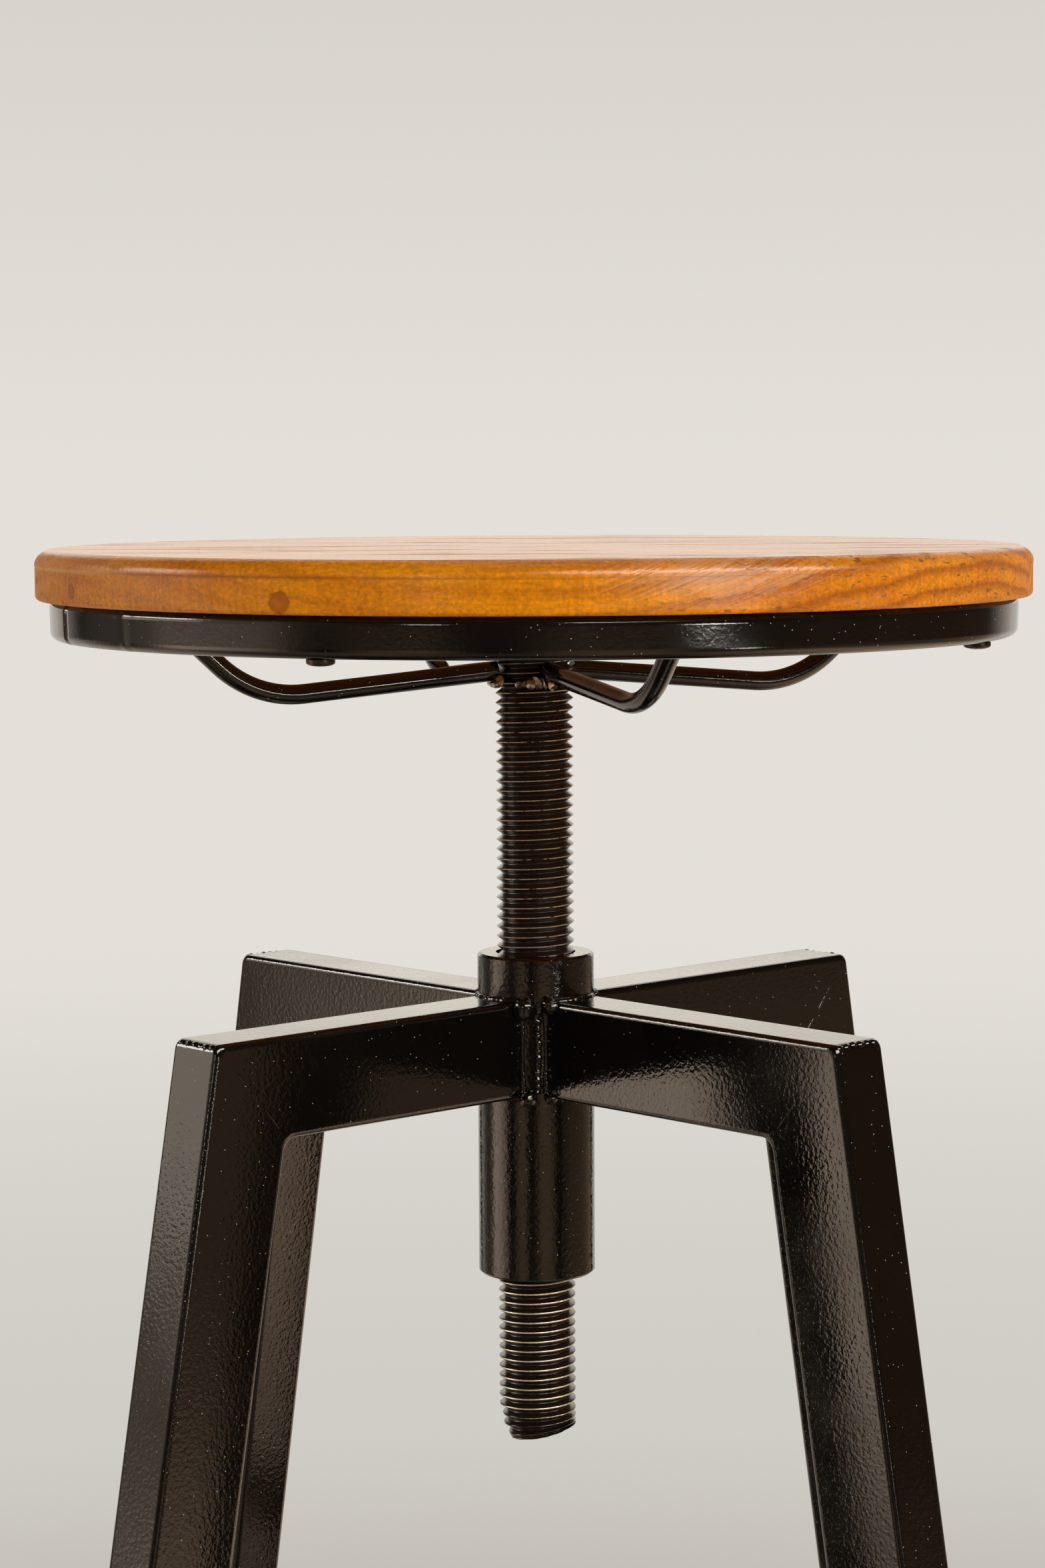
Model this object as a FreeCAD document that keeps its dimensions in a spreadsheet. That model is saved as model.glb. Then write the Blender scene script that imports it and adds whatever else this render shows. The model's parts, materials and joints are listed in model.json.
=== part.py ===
"""Swivel bar stool: a round wooden seat on a threaded spindle, which screws through a hub on four legs.

Frame: millimetres, +Z up, origin on the floor under the spindle's axis. The front of the stool faces -Y.
The seat stands at its middle height, with thread to spare both ways.
"""

import FreeCAD, Part
import math
import os
import Sketcher

SIZES = [
    ("seat_height", 700, "floor to the top of the seat"),
    ("seat_diameter", 303, "round board"),
    ("seat_thickness", 15, "board"),
    ("seat_top_round", 4.5, "radius of the board's top edge"),
    ("seat_bottom_round", 1.5, "radius of the board's bottom edge"),
    ("stave_count", 5, "staves glued edge to edge"),
    ("stave_width", 70, "inner staves; the outer two reach the rim"),
    ("ring_inset", 4.4, "rim of the board to the outside of the ring"),
    ("ring_tube", 12, "square tube of the ring"),
    ("ring_wall", 1.2, "wall of the ring's tube"),
    ("ring_corner", 2.5, "corner radius of the ring's tube"),
    ("strut_diameter", 6, "round rod"),
    ("strut_angle", 22.5, "direction of the first strut from +X"),
    ("strut_hang", 11, "underside of the ring to the rod's centre at the spindle"),
    ("strut_dip", 6.6, "fall of the rod from the spindle to its low bend"),
    ("strut_rise_run", 25, "level distance from the low bend to the high bend"),
    ("strut_end_run", 21, "high bend to the ring"),
    ("strut_low_bend", 34, "radius of the rod's low bend at its centre"),
    ("strut_high_bend", 18, "radius of the rod's high bend at its centre"),
    ("strut_set", 0.4, "end of the rod to the crests of the thread"),
    ("weld_gap", 0.1, "other parts set before welding"),
    ("spindle_diameter", 24, "outside of the thread"),
    ("spindle_length", 246, "threaded rod"),
    ("spindle_head", 6.5, "top of the spindle above the struts' centres"),
    ("thread_pitch", 3, "one turn"),
    ("thread_depth", 1.75, "crest to root"),
    ("spoiled_length", 11, "crushed lower end that can't enter the hub"),
    ("spoiled_diameter", 20.5, "lower tip of the crushed end"),
    ("cap_wall", 1.2, "cap over the top of the spindle"),
    ("cap_gap", 0.4, "cap to the spindle and the struts"),
    ("screw_head_diameter", 8, "pan head"),
    ("screw_head_height", 2.2, "pan head"),
    ("screw_diameter", 4, "shank"),
    ("screw_bite", 10, "shank inside the board"),
    ("screw_clearance", 0.25, "round the shank"),
    ("hub_diameter", 36, "outside of the sleeve"),
    ("hub_length", 100, "sleeve"),
    ("hub_rise", 13, "top of the arms to the top of the sleeve"),
    ("hub_chamfer", 0.8, "ends of the sleeve"),
    ("hub_clearance", 0.3, "bore round the crests of the thread"),
    ("arm_height", 562, "floor to the top of the arms"),
    ("arm_reach", 133, "axis to the outer top corner of the mitre"),
    ("arm_angle", -45, "direction of the first arm from +X"),
    ("tube_depth", 30, "long side of the arms' and legs' tube"),
    ("tube_width", 20, "short side of the tube"),
    ("tube_wall", 1.5, "wall of the tube"),
    ("tube_corner", 2, "corner radius of the tube"),
    ("leg_splay", 10.1, "degrees between a leg and the vertical"),
    ("rail_height", 230, "floor to the middle of the footrest rails"),
    ("rail_tube", 16, "square tube of the rails"),
    ("rail_wall", 1.5, "wall of the rails"),
    ("rail_corner", 2, "corner radius of the rails"),
    ("foot_height", 6, "sole under the end of the leg"),
    ("foot_rim", 0.8, "sole beyond the leg"),
    ("foot_corner", 2.5, "corner radius of the sole"),
    ("plug_length", 22, "plug of the foot inside the leg"),
    ("plug_clearance", 0.25, "plug to the tube"),
]

QUARTERS = 4
QUARTER_TURN_DEG = 90
THREAD_FLANK_DEG = 30
THREAD_CREST_SHARE = 0.125
SPOILED_SHARE = 0.3
PAN_FLAT_SHARE = 0.6
PAN_EDGE_SHARE = 0.45
CORNERS = ["front_right", "back_right", "back_left", "front_left"]
SIDES = ["front", "right", "back", "left"]

# Heights and radii that several pieces share, as expressions on the sheet
SEAT_UNDER = "(Sizes.seat_height - Sizes.seat_thickness)"
RING_UNDER = f"({SEAT_UNDER} - Sizes.ring_tube)"
RING_LEVEL = f"({SEAT_UNDER} - Sizes.ring_tube / 2)"
RING_OUTER = "(Sizes.seat_diameter / 2 - Sizes.ring_inset)"
RING_INNER = f"({RING_OUTER} - Sizes.ring_tube)"
RING_MIDDLE = f"({RING_OUTER} - Sizes.ring_tube / 2)"
STRUT_LEVEL = f"({RING_UNDER} - Sizes.strut_hang)"
STRUT_HIGH = f"({RING_INNER} - Sizes.strut_end_run)"
STRUT_LOW = f"({STRUT_HIGH} - Sizes.strut_rise_run)"
SPINDLE_TOP = f"({STRUT_LEVEL} + Sizes.spindle_head)"
CREST = "(Sizes.spindle_diameter / 2)"
SCREW_HOLE = "(Sizes.screw_diameter / 2 + Sizes.screw_clearance)"
HUB_TOP = "(Sizes.arm_height + Sizes.hub_rise)"
ARM_START = "(Sizes.hub_diameter / 4)"
ARM_UNDER = "(Sizes.arm_height - Sizes.tube_depth)"
SPLAY_TAN = "tan(Sizes.leg_splay * 1 deg)"
SPLAY_SIN = "sin(Sizes.leg_splay * 1 deg)"
SPLAY_COS = "cos(Sizes.leg_splay * 1 deg)"
MITRE_INNER = f"(Sizes.arm_reach - Sizes.tube_depth * (1 - {SPLAY_SIN}) / {SPLAY_COS})"
LEG_LEVEL_DEPTH = f"(Sizes.tube_depth / {SPLAY_COS})"
LEG_LEVEL_WALL = f"(Sizes.tube_wall / {SPLAY_COS})"


def leg_outer(height):
    """Radius of a leg's outer face at a height."""
    return f"(Sizes.arm_reach + (Sizes.arm_height - {height}) * {SPLAY_TAN})"


doc = FreeCAD.newDocument("swivel_bar_stool")
sheet = doc.addObject("Spreadsheet::Sheet", "Sizes")
for row, (alias, value, note) in enumerate(SIZES, start=1):
    sheet.set(f"A{row}", alias)
    sheet.set(f"B{row}", str(value))
    sheet.setAlias(f"B{row}", alias)
    sheet.set(f"C{row}", note)
doc.recompute()

nodes = []


def number(expression):
    """Value of an expression on the sheet."""
    return float(sheet.evalExpression(expression))


def turned(angle):
    """Placement turned about the stool's axis, in degrees."""
    return FreeCAD.Placement(FreeCAD.Vector(), FreeCAD.Rotation(FreeCAD.Vector(0, 0, 1), angle))


def new_body(label, node=True):
    body = doc.addObject("PartDesign::Body", label)
    body.Label = label
    if node:
        nodes.append(body)
    return body


def plane(body, role):
    return next(f for f in body.Origin.OriginFeatures if f.Role == role)


def new_sketch(body, name, role, height=None):
    """Empty sketch on one of the body's own planes, raised to a height on the level plane."""
    sketch = body.newObject("Sketcher::SketchObject", name)
    sketch.AttachmentSupport = [(plane(body, role), "")]
    sketch.MapMode = "FlatFace"
    if height:
        sketch.setExpression("AttachmentOffset.Base.z", height)
    return sketch


def pin_point(sketch, geometry, end, x, y):
    """Binds a point's two coordinates to expressions."""
    for axis, expression in (("DistanceX", x), ("DistanceY", y)):
        value = number(expression)
        index = sketch.addConstraint(Sketcher.Constraint(axis, -1, 1, geometry, end, value))
        sketch.setExpression(f"Constraints[{index}]", expression)


def polygon(body, name, role, corners, height=None):
    """Closed outline through corners, each a pair of expressions."""
    sketch = new_sketch(body, name, role, height)
    points = [FreeCAD.Vector(number(x), number(y), 0) for x, y in corners]
    count = len(points)
    for k in range(count):
        sketch.addGeometry(Part.LineSegment(points[k], points[(k + 1) % count]))
    for k in range(count):
        sketch.addConstraint(Sketcher.Constraint("Coincident", k, 2, (k + 1) % count, 1))
    for k, (x, y) in enumerate(corners):
        pin_point(sketch, k, 1, x, y)
    return sketch


def circles(body, name, height, centres, radius):
    """Circles on a level plane, all of one radius."""
    sketch = new_sketch(body, name, "XY_Plane", height)
    for k, (x, y) in enumerate(centres):
        middle = FreeCAD.Vector(number(x), number(y), 0)
        sketch.addGeometry(Part.Circle(middle, FreeCAD.Vector(0, 0, 1), number(radius)))
        pin_point(sketch, k, 3, x, y)
        index = sketch.addConstraint(Sketcher.Constraint("Radius", k, number(radius)))
        sketch.setExpression(f"Constraints[{index}]", radius)
    return sketch


def extrude(body, kind, name, sketch, length, symmetric=True):
    """Pad or Pocket of a sketch, to both sides or along +Z only."""
    feature = body.newObject(f"PartDesign::{kind}", name)
    feature.Profile = sketch
    feature.setExpression("Length", length)
    feature.SideType = "Symmetric" if symmetric else "One side"
    feature.Reversed = kind == "Pocket" and not symmetric
    doc.recompute()
    return feature


def revolve(body, kind, name, sketch):
    """Revolution or Groove of a sketch on the upright plane, about the stool's axis."""
    feature = body.newObject(f"PartDesign::{kind}", name)
    feature.Profile = sketch
    feature.ReferenceAxis = (sketch, ["V_Axis"])
    feature.Angle = 360
    doc.recompute()
    return feature


def round_edges(body, name, radius, chosen):
    """Fillet on the edges of the body's last feature that chosen() picks."""
    base = body.Tip
    names = [f"Edge{k}" for k, edge in enumerate(base.Shape.Edges, start=1) if chosen(edge)]
    feature = body.newObject("PartDesign::Fillet", name)
    feature.Base = (base, names)
    feature.setExpression("Radius", radius)
    doc.recompute()
    return feature


def is_rim_at(height):
    """Picks round edges about the axis at a height."""
    def chosen(edge):
        box = edge.BoundBox
        level = abs(box.ZMax - box.ZMin) < 1e-6
        return isinstance(edge.Curve, Part.Circle) and level and abs(box.ZMax - height) < 1e-6
    return chosen


def is_along(direction):
    """Picks straight edges along a direction."""
    def chosen(edge):
        if not isinstance(edge.Curve, Part.Line):
            return False
        return abs(edge.tangentAt(edge.FirstParameter).dot(direction)) > 0.9999
    return chosen


def screw_places():
    """Centres of the four screws, midway between the struts."""
    places = []
    for k in range(QUARTERS):
        angle = f"((Sizes.strut_angle + {QUARTER_TURN_DEG * (k + 0.5)}) * 1 deg)"
        places.append((f"{RING_MIDDLE} * cos{angle}", f"{RING_MIDDLE} * sin{angle}"))
    return places


def make_seat():
    """Board: one turned and drilled blank, parted into staves that run left to right."""
    blank = new_body("seat_blank", node=False)
    radius = "(Sizes.seat_diameter / 2)"
    outline = polygon(blank, "board_section", "XZ_Plane", [
        ("0", SEAT_UNDER), (radius, SEAT_UNDER), (radius, "Sizes.seat_height"), ("0", "Sizes.seat_height")])
    revolve(blank, "Revolution", "board", outline)
    round_edges(blank, "board_top_edge", "Sizes.seat_top_round", is_rim_at(number("Sizes.seat_height")))
    round_edges(blank, "board_bottom_edge", "Sizes.seat_bottom_round", is_rim_at(number(SEAT_UNDER)))
    holes = circles(blank, "pilot_places", SEAT_UNDER, screw_places(), SCREW_HOLE)
    hole_depth = "Sizes.screw_bite + Sizes.screw_clearance"
    extrude(blank, "Pocket", "pilot_holes", holes, hole_depth, symmetric=False)
    count = round(number("Sizes.stave_count"))
    joints = [f"(({k} - Sizes.stave_count / 2) * Sizes.stave_width)" for k in range(1, count)]
    edges = [f"(-{radius})"] + joints + [radius]
    for k in range(count):
        slab = doc.addObject("Part::Box", f"stave_slab_{k + 1}")
        slab.setExpression("Length", "Sizes.seat_diameter")
        slab.setExpression("Width", f"{edges[k + 1]} - {edges[k]}")
        slab.setExpression("Height", "Sizes.seat_thickness")
        slab.setExpression("Placement.Base.x", f"-{radius}")
        slab.setExpression("Placement.Base.y", edges[k])
        slab.setExpression("Placement.Base.z", SEAT_UNDER)
        stave = doc.addObject("Part::Common", f"seat_stave_{k + 1}")
        stave.Base = blank
        stave.Tool = slab
        stave.Label = f"seat_stave_{k + 1}"
        nodes.append(stave)


def make_ring():
    """Rolled square tube, drilled for the screws."""
    body = new_body("seat_ring")
    outline = polygon(body, "ring_section", "XZ_Plane", [
        (RING_INNER, RING_UNDER), (RING_OUTER, RING_UNDER),
        (RING_OUTER, SEAT_UNDER), (RING_INNER, SEAT_UNDER)])
    revolve(body, "Revolution", "ring", outline)
    round_edges(body, "ring_corners", "Sizes.ring_corner", lambda edge: isinstance(edge.Curve, Part.Circle))
    low = f"{RING_UNDER} + Sizes.ring_wall"
    high = f"{SEAT_UNDER} - Sizes.ring_wall"
    inside = f"{RING_INNER} + Sizes.ring_wall"
    outside = f"{RING_OUTER} - Sizes.ring_wall"
    hollow = polygon(body, "ring_hollow", "XZ_Plane", [
        (inside, low), (outside, low), (outside, high), (inside, high)])
    revolve(body, "Groove", "ring_bore", hollow)
    holes = circles(body, "hole_places", RING_LEVEL, screw_places(), SCREW_HOLE)
    extrude(body, "Pocket", "screw_holes", holes, "2 * Sizes.ring_tube")


def strut_corners():
    """The rod's centre line in its own upright plane: spindle, low bend, high bend, ring."""
    return [
        (f"{CREST} + Sizes.strut_set", STRUT_LEVEL),
        (STRUT_LOW, f"{STRUT_LEVEL} - Sizes.strut_dip"),
        (STRUT_HIGH, RING_LEVEL),
        (f"{RING_INNER} - Sizes.weld_gap", RING_LEVEL),
    ]


def strut_path(body):
    """Centre line with its two bends, as three lines and two tangent arcs."""
    corners = strut_corners()
    points = [FreeCAD.Vector(number(x), number(y), 0) for x, y in corners]
    bends = ["Sizes.strut_low_bend", "Sizes.strut_high_bend"]
    starts = [points[0]]
    ends = []
    arcs = []
    for before, corner, after, size in zip(points, points[1:], points[2:], bends):
        bend = number(size)
        back = (before - corner).normalize()
        ahead = (after - corner).normalize()
        half = back.getAngle(ahead) / 2
        reach = bend / math.tan(half)
        middle = (back + ahead).normalize() * (bend / math.sin(half) - bend)
        ends.append(corner + back * reach)
        starts.append(corner + ahead * reach)
        arcs.append(Part.Arc(ends[-1], corner + middle, starts[-1]))
    ends.append(points[-1])

    sketch = new_sketch(body, "strut_path", "XZ_Plane")
    for start, end in zip(starts, ends):
        sketch.addGeometry(Part.LineSegment(start, end))
    first_arc = len(starts)
    for arc in arcs:
        sketch.addGeometry(arc)
    for k in range(len(arcs)):
        arc = first_arc + k
        arc_at_line = 1 if sketch.getPoint(arc, 1).isEqual(ends[k], 1e-6) else 2
        sketch.addConstraint(Sketcher.Constraint("Tangent", k, 2, arc, arc_at_line))
        sketch.addConstraint(Sketcher.Constraint("Tangent", k + 1, 1, arc, 3 - arc_at_line))
        index = sketch.addConstraint(Sketcher.Constraint("Radius", arc, number(bends[k])))
        sketch.setExpression(f"Constraints[{index}]", bends[k])
        corner = sketch.addGeometry(Part.Point(points[k + 1]), True)
        sketch.addConstraint(Sketcher.Constraint("PointOnObject", corner, 1, k))
        sketch.addConstraint(Sketcher.Constraint("PointOnObject", corner, 1, k + 1))
        pin_point(sketch, corner, 1, *corners[k + 1])
    pin_point(sketch, 0, 1, *corners[0])
    pin_point(sketch, len(starts) - 1, 2, *corners[-1])
    return sketch


def make_struts():
    """Bent rods from the spindle to the ring's inner face."""
    for k in range(QUARTERS):
        body = new_body(f"strut_{k + 1}")
        path = strut_path(body)
        doc.recompute()
        section = body.newObject("Sketcher::SketchObject", "strut_section")
        section.AttachmentSupport = [(path, "Edge1")]
        section.MapMode = "NormalToEdge"
        radius = number("Sizes.strut_diameter / 2")
        section.addGeometry(Part.Circle(FreeCAD.Vector(), FreeCAD.Vector(0, 0, 1), radius))
        section.addConstraint(Sketcher.Constraint("Coincident", 0, 3, -1, 1))
        index = section.addConstraint(Sketcher.Constraint("Diameter", 0, number("Sizes.strut_diameter")))
        section.setExpression(f"Constraints[{index}]", "Sizes.strut_diameter")
        rod = body.newObject("PartDesign::AdditivePipe", "rod")
        rod.Profile = section
        rod.Spine = path
        doc.recompute()
        body.Placement = turned(number("Sizes.strut_angle") + QUARTER_TURN_DEG * k)


def make_spindle():
    """Threaded rod, with the thread drawn as rings one pitch apart, and its lower end crushed."""
    top = number(SPINDLE_TOP)
    bottom = top - number("Sizes.spindle_length")
    crest = number(CREST)
    pitch = number("Sizes.thread_pitch")
    root = crest - number("Sizes.thread_depth")
    flank = number("Sizes.thread_depth") * math.tan(math.radians(THREAD_FLANK_DEG))
    crest_width = THREAD_CREST_SHARE * pitch
    root_width = pitch - crest_width - 2 * flank
    thread_end = bottom + number("Sizes.spoiled_length")
    turns = int((top - thread_end) / pitch)
    outline = [(0, top)]
    height = top
    for _ in range(turns):
        outline.append((root, height))
        outline.append((root, height - root_width))
        outline.append((crest, height - root_width - flank))
        outline.append((crest, height - root_width - flank - crest_width))
        height -= pitch
    outline.append((root, height))
    outline.append((crest - SPOILED_SHARE * (crest - root), height))
    outline.append((number("Sizes.spoiled_diameter / 2"), bottom))
    outline.append((0, bottom))
    points = [FreeCAD.Vector(r, 0, z) for r, z in outline]
    face = Part.Face(Part.makePolygon(points + points[:1]))
    spindle = doc.addObject("Part::Feature", "spindle")
    spindle.Label = "spindle"
    spindle.Shape = face.revolve(FreeCAD.Vector(), FreeCAD.Vector(0, 0, 1), 360)
    spindle.Placement = turned(0)
    nodes.append(spindle)


def make_spindle_cap():
    """Cap over the cut top end of the spindle."""
    body = new_body("spindle_cap")
    inside = f"({CREST} + Sizes.cap_gap)"
    outside = f"({inside} + Sizes.cap_wall)"
    ceiling = f"({SPINDLE_TOP} + Sizes.cap_gap)"
    top = f"({ceiling} + Sizes.cap_wall)"
    skirt = f"({STRUT_LEVEL} + Sizes.strut_diameter / 2 + Sizes.cap_gap)"
    outline = polygon(body, "cap_section", "XZ_Plane", [
        ("0", ceiling), (inside, ceiling), (inside, skirt), (outside, skirt), (outside, top), ("0", top)])
    revolve(body, "Revolution", "cap", outline)


def make_screws():
    """Four pan-head wood screws, heads under the ring and shanks through it into the board."""
    under = number(RING_UNDER)
    head = number("Sizes.screw_head_diameter / 2")
    drop = number("Sizes.screw_head_height")
    shank = number("Sizes.screw_diameter / 2")
    tip = number(f"{SEAT_UNDER} + Sizes.screw_bite")
    outline = [
        (0, under - drop), (head * PAN_FLAT_SHARE, under - drop),
        (head, under - drop * PAN_EDGE_SHARE), (head, under),
        (shank, under), (shank, tip - 2 * shank), (0, tip)]
    points = [FreeCAD.Vector(r, 0, z) for r, z in outline]
    face = Part.Face(Part.makePolygon(points + points[:1]))
    screw = face.revolve(FreeCAD.Vector(), FreeCAD.Vector(0, 0, 1), 360)
    copies = []
    for x, y in screw_places():
        copies.append(screw.translated(FreeCAD.Vector(number(x), number(y), 0)))
    screws = doc.addObject("Part::Feature", "seat_screws")
    screws.Label = "seat_screws"
    screws.Shape = Part.makeCompound(copies)
    screws.Placement = turned(0)
    nodes.append(screws)


def make_hub():
    """Sleeve round the spindle, with its bore just clear of the crests."""
    body = new_body("hub_sleeve")
    bore = f"({CREST} + Sizes.hub_clearance)"
    outside = "(Sizes.hub_diameter / 2)"
    bottom = f"({HUB_TOP} - Sizes.hub_length)"
    outline = polygon(body, "hub_section", "XZ_Plane", [
        (bore, bottom),
        (f"{outside} - Sizes.hub_chamfer", bottom),
        (outside, f"{bottom} + Sizes.hub_chamfer"),
        (outside, f"{HUB_TOP} - Sizes.hub_chamfer"),
        (f"{outside} - Sizes.hub_chamfer", HUB_TOP),
        (bore, HUB_TOP)])
    revolve(body, "Revolution", "sleeve", outline)


def make_arm(corner, angle):
    """Level tube from the hub to the mitre, coped to the hub."""
    body = new_body(f"arm_{corner}")
    outline = polygon(body, "arm_side", "XZ_Plane", [
        (ARM_START, "Sizes.arm_height"), ("Sizes.arm_reach", "Sizes.arm_height"),
        (MITRE_INNER, ARM_UNDER), (ARM_START, ARM_UNDER)])
    extrude(body, "Pad", "arm", outline, "Sizes.tube_width")
    round_edges(body, "arm_corners", "Sizes.tube_corner", is_along(FreeCAD.Vector(1, 0, 0)))
    high = "Sizes.arm_height - Sizes.tube_wall"
    low = f"{ARM_UNDER} + Sizes.tube_wall"
    hollow = polygon(body, "arm_hollow", "XZ_Plane", [
        ("0", high), ("Sizes.arm_reach", high), ("Sizes.arm_reach", low), ("0", low)])
    extrude(body, "Pocket", "arm_bore", hollow, "Sizes.tube_width - 2 * Sizes.tube_wall")
    cope = circles(body, "cope_place", ARM_UNDER, [("0", "0")], "Sizes.hub_diameter / 2 + Sizes.weld_gap")
    extrude(body, "Pocket", "cope", cope, "4 * Sizes.tube_depth")
    body.Placement = turned(angle)


def make_leg(corner, angle):
    """Splayed tube from the mitre to the foot, cut level at its lower end."""
    body = new_body(f"leg_{corner}")
    foot = "Sizes.foot_height"
    outer_at_foot = leg_outer(foot)
    outline = polygon(body, "leg_side", "XZ_Plane", [
        ("Sizes.arm_reach", "Sizes.arm_height"), (MITRE_INNER, ARM_UNDER),
        (f"{outer_at_foot} - {LEG_LEVEL_DEPTH}", foot), (outer_at_foot, foot)])
    extrude(body, "Pad", "leg", outline, "Sizes.tube_width")
    splay = math.radians(number("Sizes.leg_splay"))
    down = FreeCAD.Vector(math.sin(splay), 0, -math.cos(splay))
    round_edges(body, "leg_corners", "Sizes.tube_corner", is_along(down))
    outer_at_floor = leg_outer("0")
    inner_shift = f"{LEG_LEVEL_DEPTH} + {LEG_LEVEL_WALL}"
    hollow = polygon(body, "leg_hollow", "XZ_Plane", [
        (f"Sizes.arm_reach - {LEG_LEVEL_WALL}", "Sizes.arm_height"),
        (f"Sizes.arm_reach - {inner_shift}", "Sizes.arm_height"),
        (f"{outer_at_floor} - {inner_shift}", "0"),
        (f"{outer_at_floor} - {LEG_LEVEL_WALL}", "0")])
    extrude(body, "Pocket", "leg_bore", hollow, "Sizes.tube_width - 2 * Sizes.tube_wall")
    body.Placement = turned(angle)


def make_foot(corner, angle):
    """Plastic sole under the leg with a plug inside the tube."""
    body = new_body(f"foot_{corner}")
    outer = leg_outer("Sizes.foot_height")
    inner = f"{outer} - {LEG_LEVEL_DEPTH}"
    half = "Sizes.tube_width / 2 + Sizes.foot_rim"
    sole = polygon(body, "sole_outline", "XY_Plane", [
        (f"{inner} - Sizes.foot_rim", f"-({half})"), (f"{outer} + Sizes.foot_rim", f"-({half})"),
        (f"{outer} + Sizes.foot_rim", half), (f"{inner} - Sizes.foot_rim", half)])
    extrude(body, "Pad", "sole", sole, "Sizes.foot_height", symmetric=False)
    round_edges(body, "sole_corners", "Sizes.foot_corner", is_along(FreeCAD.Vector(0, 0, 1)))
    low = "(Sizes.foot_height / 2)"
    high = "(Sizes.foot_height + Sizes.plug_length)"
    side = f"{LEG_LEVEL_WALL} + Sizes.plug_clearance"
    plug = polygon(body, "plug_side", "XZ_Plane", [
        (f"{leg_outer(low)} - {LEG_LEVEL_DEPTH} + {side}", low), (f"{leg_outer(low)} - ({side})", low),
        (f"{leg_outer(high)} - ({side})", high), (f"{leg_outer(high)} - {LEG_LEVEL_DEPTH} + {side}", high)])
    extrude(body, "Pad", "plug", plug, "Sizes.tube_width - 2 * Sizes.tube_wall - 2 * Sizes.plug_clearance")
    body.Placement = turned(angle)


def make_rail(side, angle):
    """Footrest tube between two legs, its ends cut to the legs' side faces."""
    body = new_body(f"rail_{side}")
    middle = f"(({leg_outer('Sizes.rail_height')} - {LEG_LEVEL_DEPTH} / 2) / sqrt(2))"
    leg_side = "Sizes.tube_width / sqrt(2)"

    def end_corners(near, far, spare):
        """Four corners of a strip between two distances from the axis, with slanted ends."""
        far_half = f"({far} - {leg_side} + {spare})"
        near_half = f"({near} - {leg_side} + {spare})"
        return [
            (f"-{far_half}", f"-({far})"), (far_half, f"-({far})"),
            (near_half, f"-({near})"), (f"-{near_half}", f"-({near})")]

    half = "Sizes.rail_tube / 2"
    corners = end_corners(f"{middle} - {half}", f"{middle} + {half}", "0")
    outline = polygon(body, "rail_outline", "XY_Plane", corners, "Sizes.rail_height")
    extrude(body, "Pad", "rail", outline, "Sizes.rail_tube")
    round_edges(body, "rail_corners", "Sizes.rail_corner", is_along(FreeCAD.Vector(1, 0, 0)))
    bore = "(Sizes.rail_tube / 2 - Sizes.rail_wall)"
    corners = end_corners(f"{middle} - {bore}", f"{middle} + {bore}", "Sizes.rail_tube")
    hollow = polygon(body, "rail_hollow", "XY_Plane", corners, "Sizes.rail_height")
    extrude(body, "Pocket", "rail_bore", hollow, "Sizes.rail_tube - 2 * Sizes.rail_wall")
    body.Placement = turned(angle)


make_seat()
make_ring()
make_struts()
make_spindle()
make_spindle_cap()
make_screws()
make_hub()
for quarter in range(QUARTERS):
    arm_direction = number("Sizes.arm_angle") + QUARTER_TURN_DEG * quarter
    make_arm(CORNERS[quarter], arm_direction)
    make_leg(CORNERS[quarter], arm_direction)
    make_foot(CORNERS[quarter], arm_direction)
    make_rail(SIDES[quarter], arm_direction + QUARTER_TURN_DEG / 2)
doc.recompute()

for item in doc.Objects:
    if "Invalid" in item.State or "Error" in item.State:
        raise RuntimeError(f"{item.Label} failed to recompute: {item.State}")
for node in nodes:
    if node.Shape.isNull() or not node.Shape.isValid() or not node.Shape.Solids:
        raise RuntimeError(f"{node.Label} has no valid solid")

os.makedirs("parts", exist_ok=True)
for node in nodes:
    node.Shape.exportStep(f"parts/{node.Label}.step")
    print(f"{node.Label}: {len(node.Shape.Solids)} solid, {node.Shape.Volume:.0f} mm3")
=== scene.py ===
"""Looks of the swivel bar stool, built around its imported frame.

Metres, +Z up, with the spindle on the Z axis and the front of the stool towards -Y.
"""

import json
import math

import bmesh
import bpy
from mathutils import Matrix, Quaternion, Vector, noise


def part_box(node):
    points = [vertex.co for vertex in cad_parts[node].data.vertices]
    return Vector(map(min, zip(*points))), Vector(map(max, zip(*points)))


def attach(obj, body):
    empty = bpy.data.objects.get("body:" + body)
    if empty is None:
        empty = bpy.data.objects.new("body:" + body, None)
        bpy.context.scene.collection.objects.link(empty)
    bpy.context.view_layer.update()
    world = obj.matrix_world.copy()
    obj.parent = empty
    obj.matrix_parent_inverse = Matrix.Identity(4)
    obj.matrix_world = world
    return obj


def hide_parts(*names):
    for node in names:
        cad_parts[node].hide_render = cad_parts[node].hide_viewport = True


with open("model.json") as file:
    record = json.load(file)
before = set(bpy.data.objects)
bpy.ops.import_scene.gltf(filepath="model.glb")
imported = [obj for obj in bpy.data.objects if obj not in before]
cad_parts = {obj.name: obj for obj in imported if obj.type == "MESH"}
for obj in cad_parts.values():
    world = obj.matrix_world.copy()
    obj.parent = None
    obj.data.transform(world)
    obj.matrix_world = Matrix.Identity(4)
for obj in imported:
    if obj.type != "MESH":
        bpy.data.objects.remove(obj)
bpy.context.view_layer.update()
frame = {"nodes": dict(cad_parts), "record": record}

MM = 0.001
UP = Vector((0, 0, 1))
WELD_SEED = 4
CORNERS = ["front_right", "back_right", "back_left", "front_left"]

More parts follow.
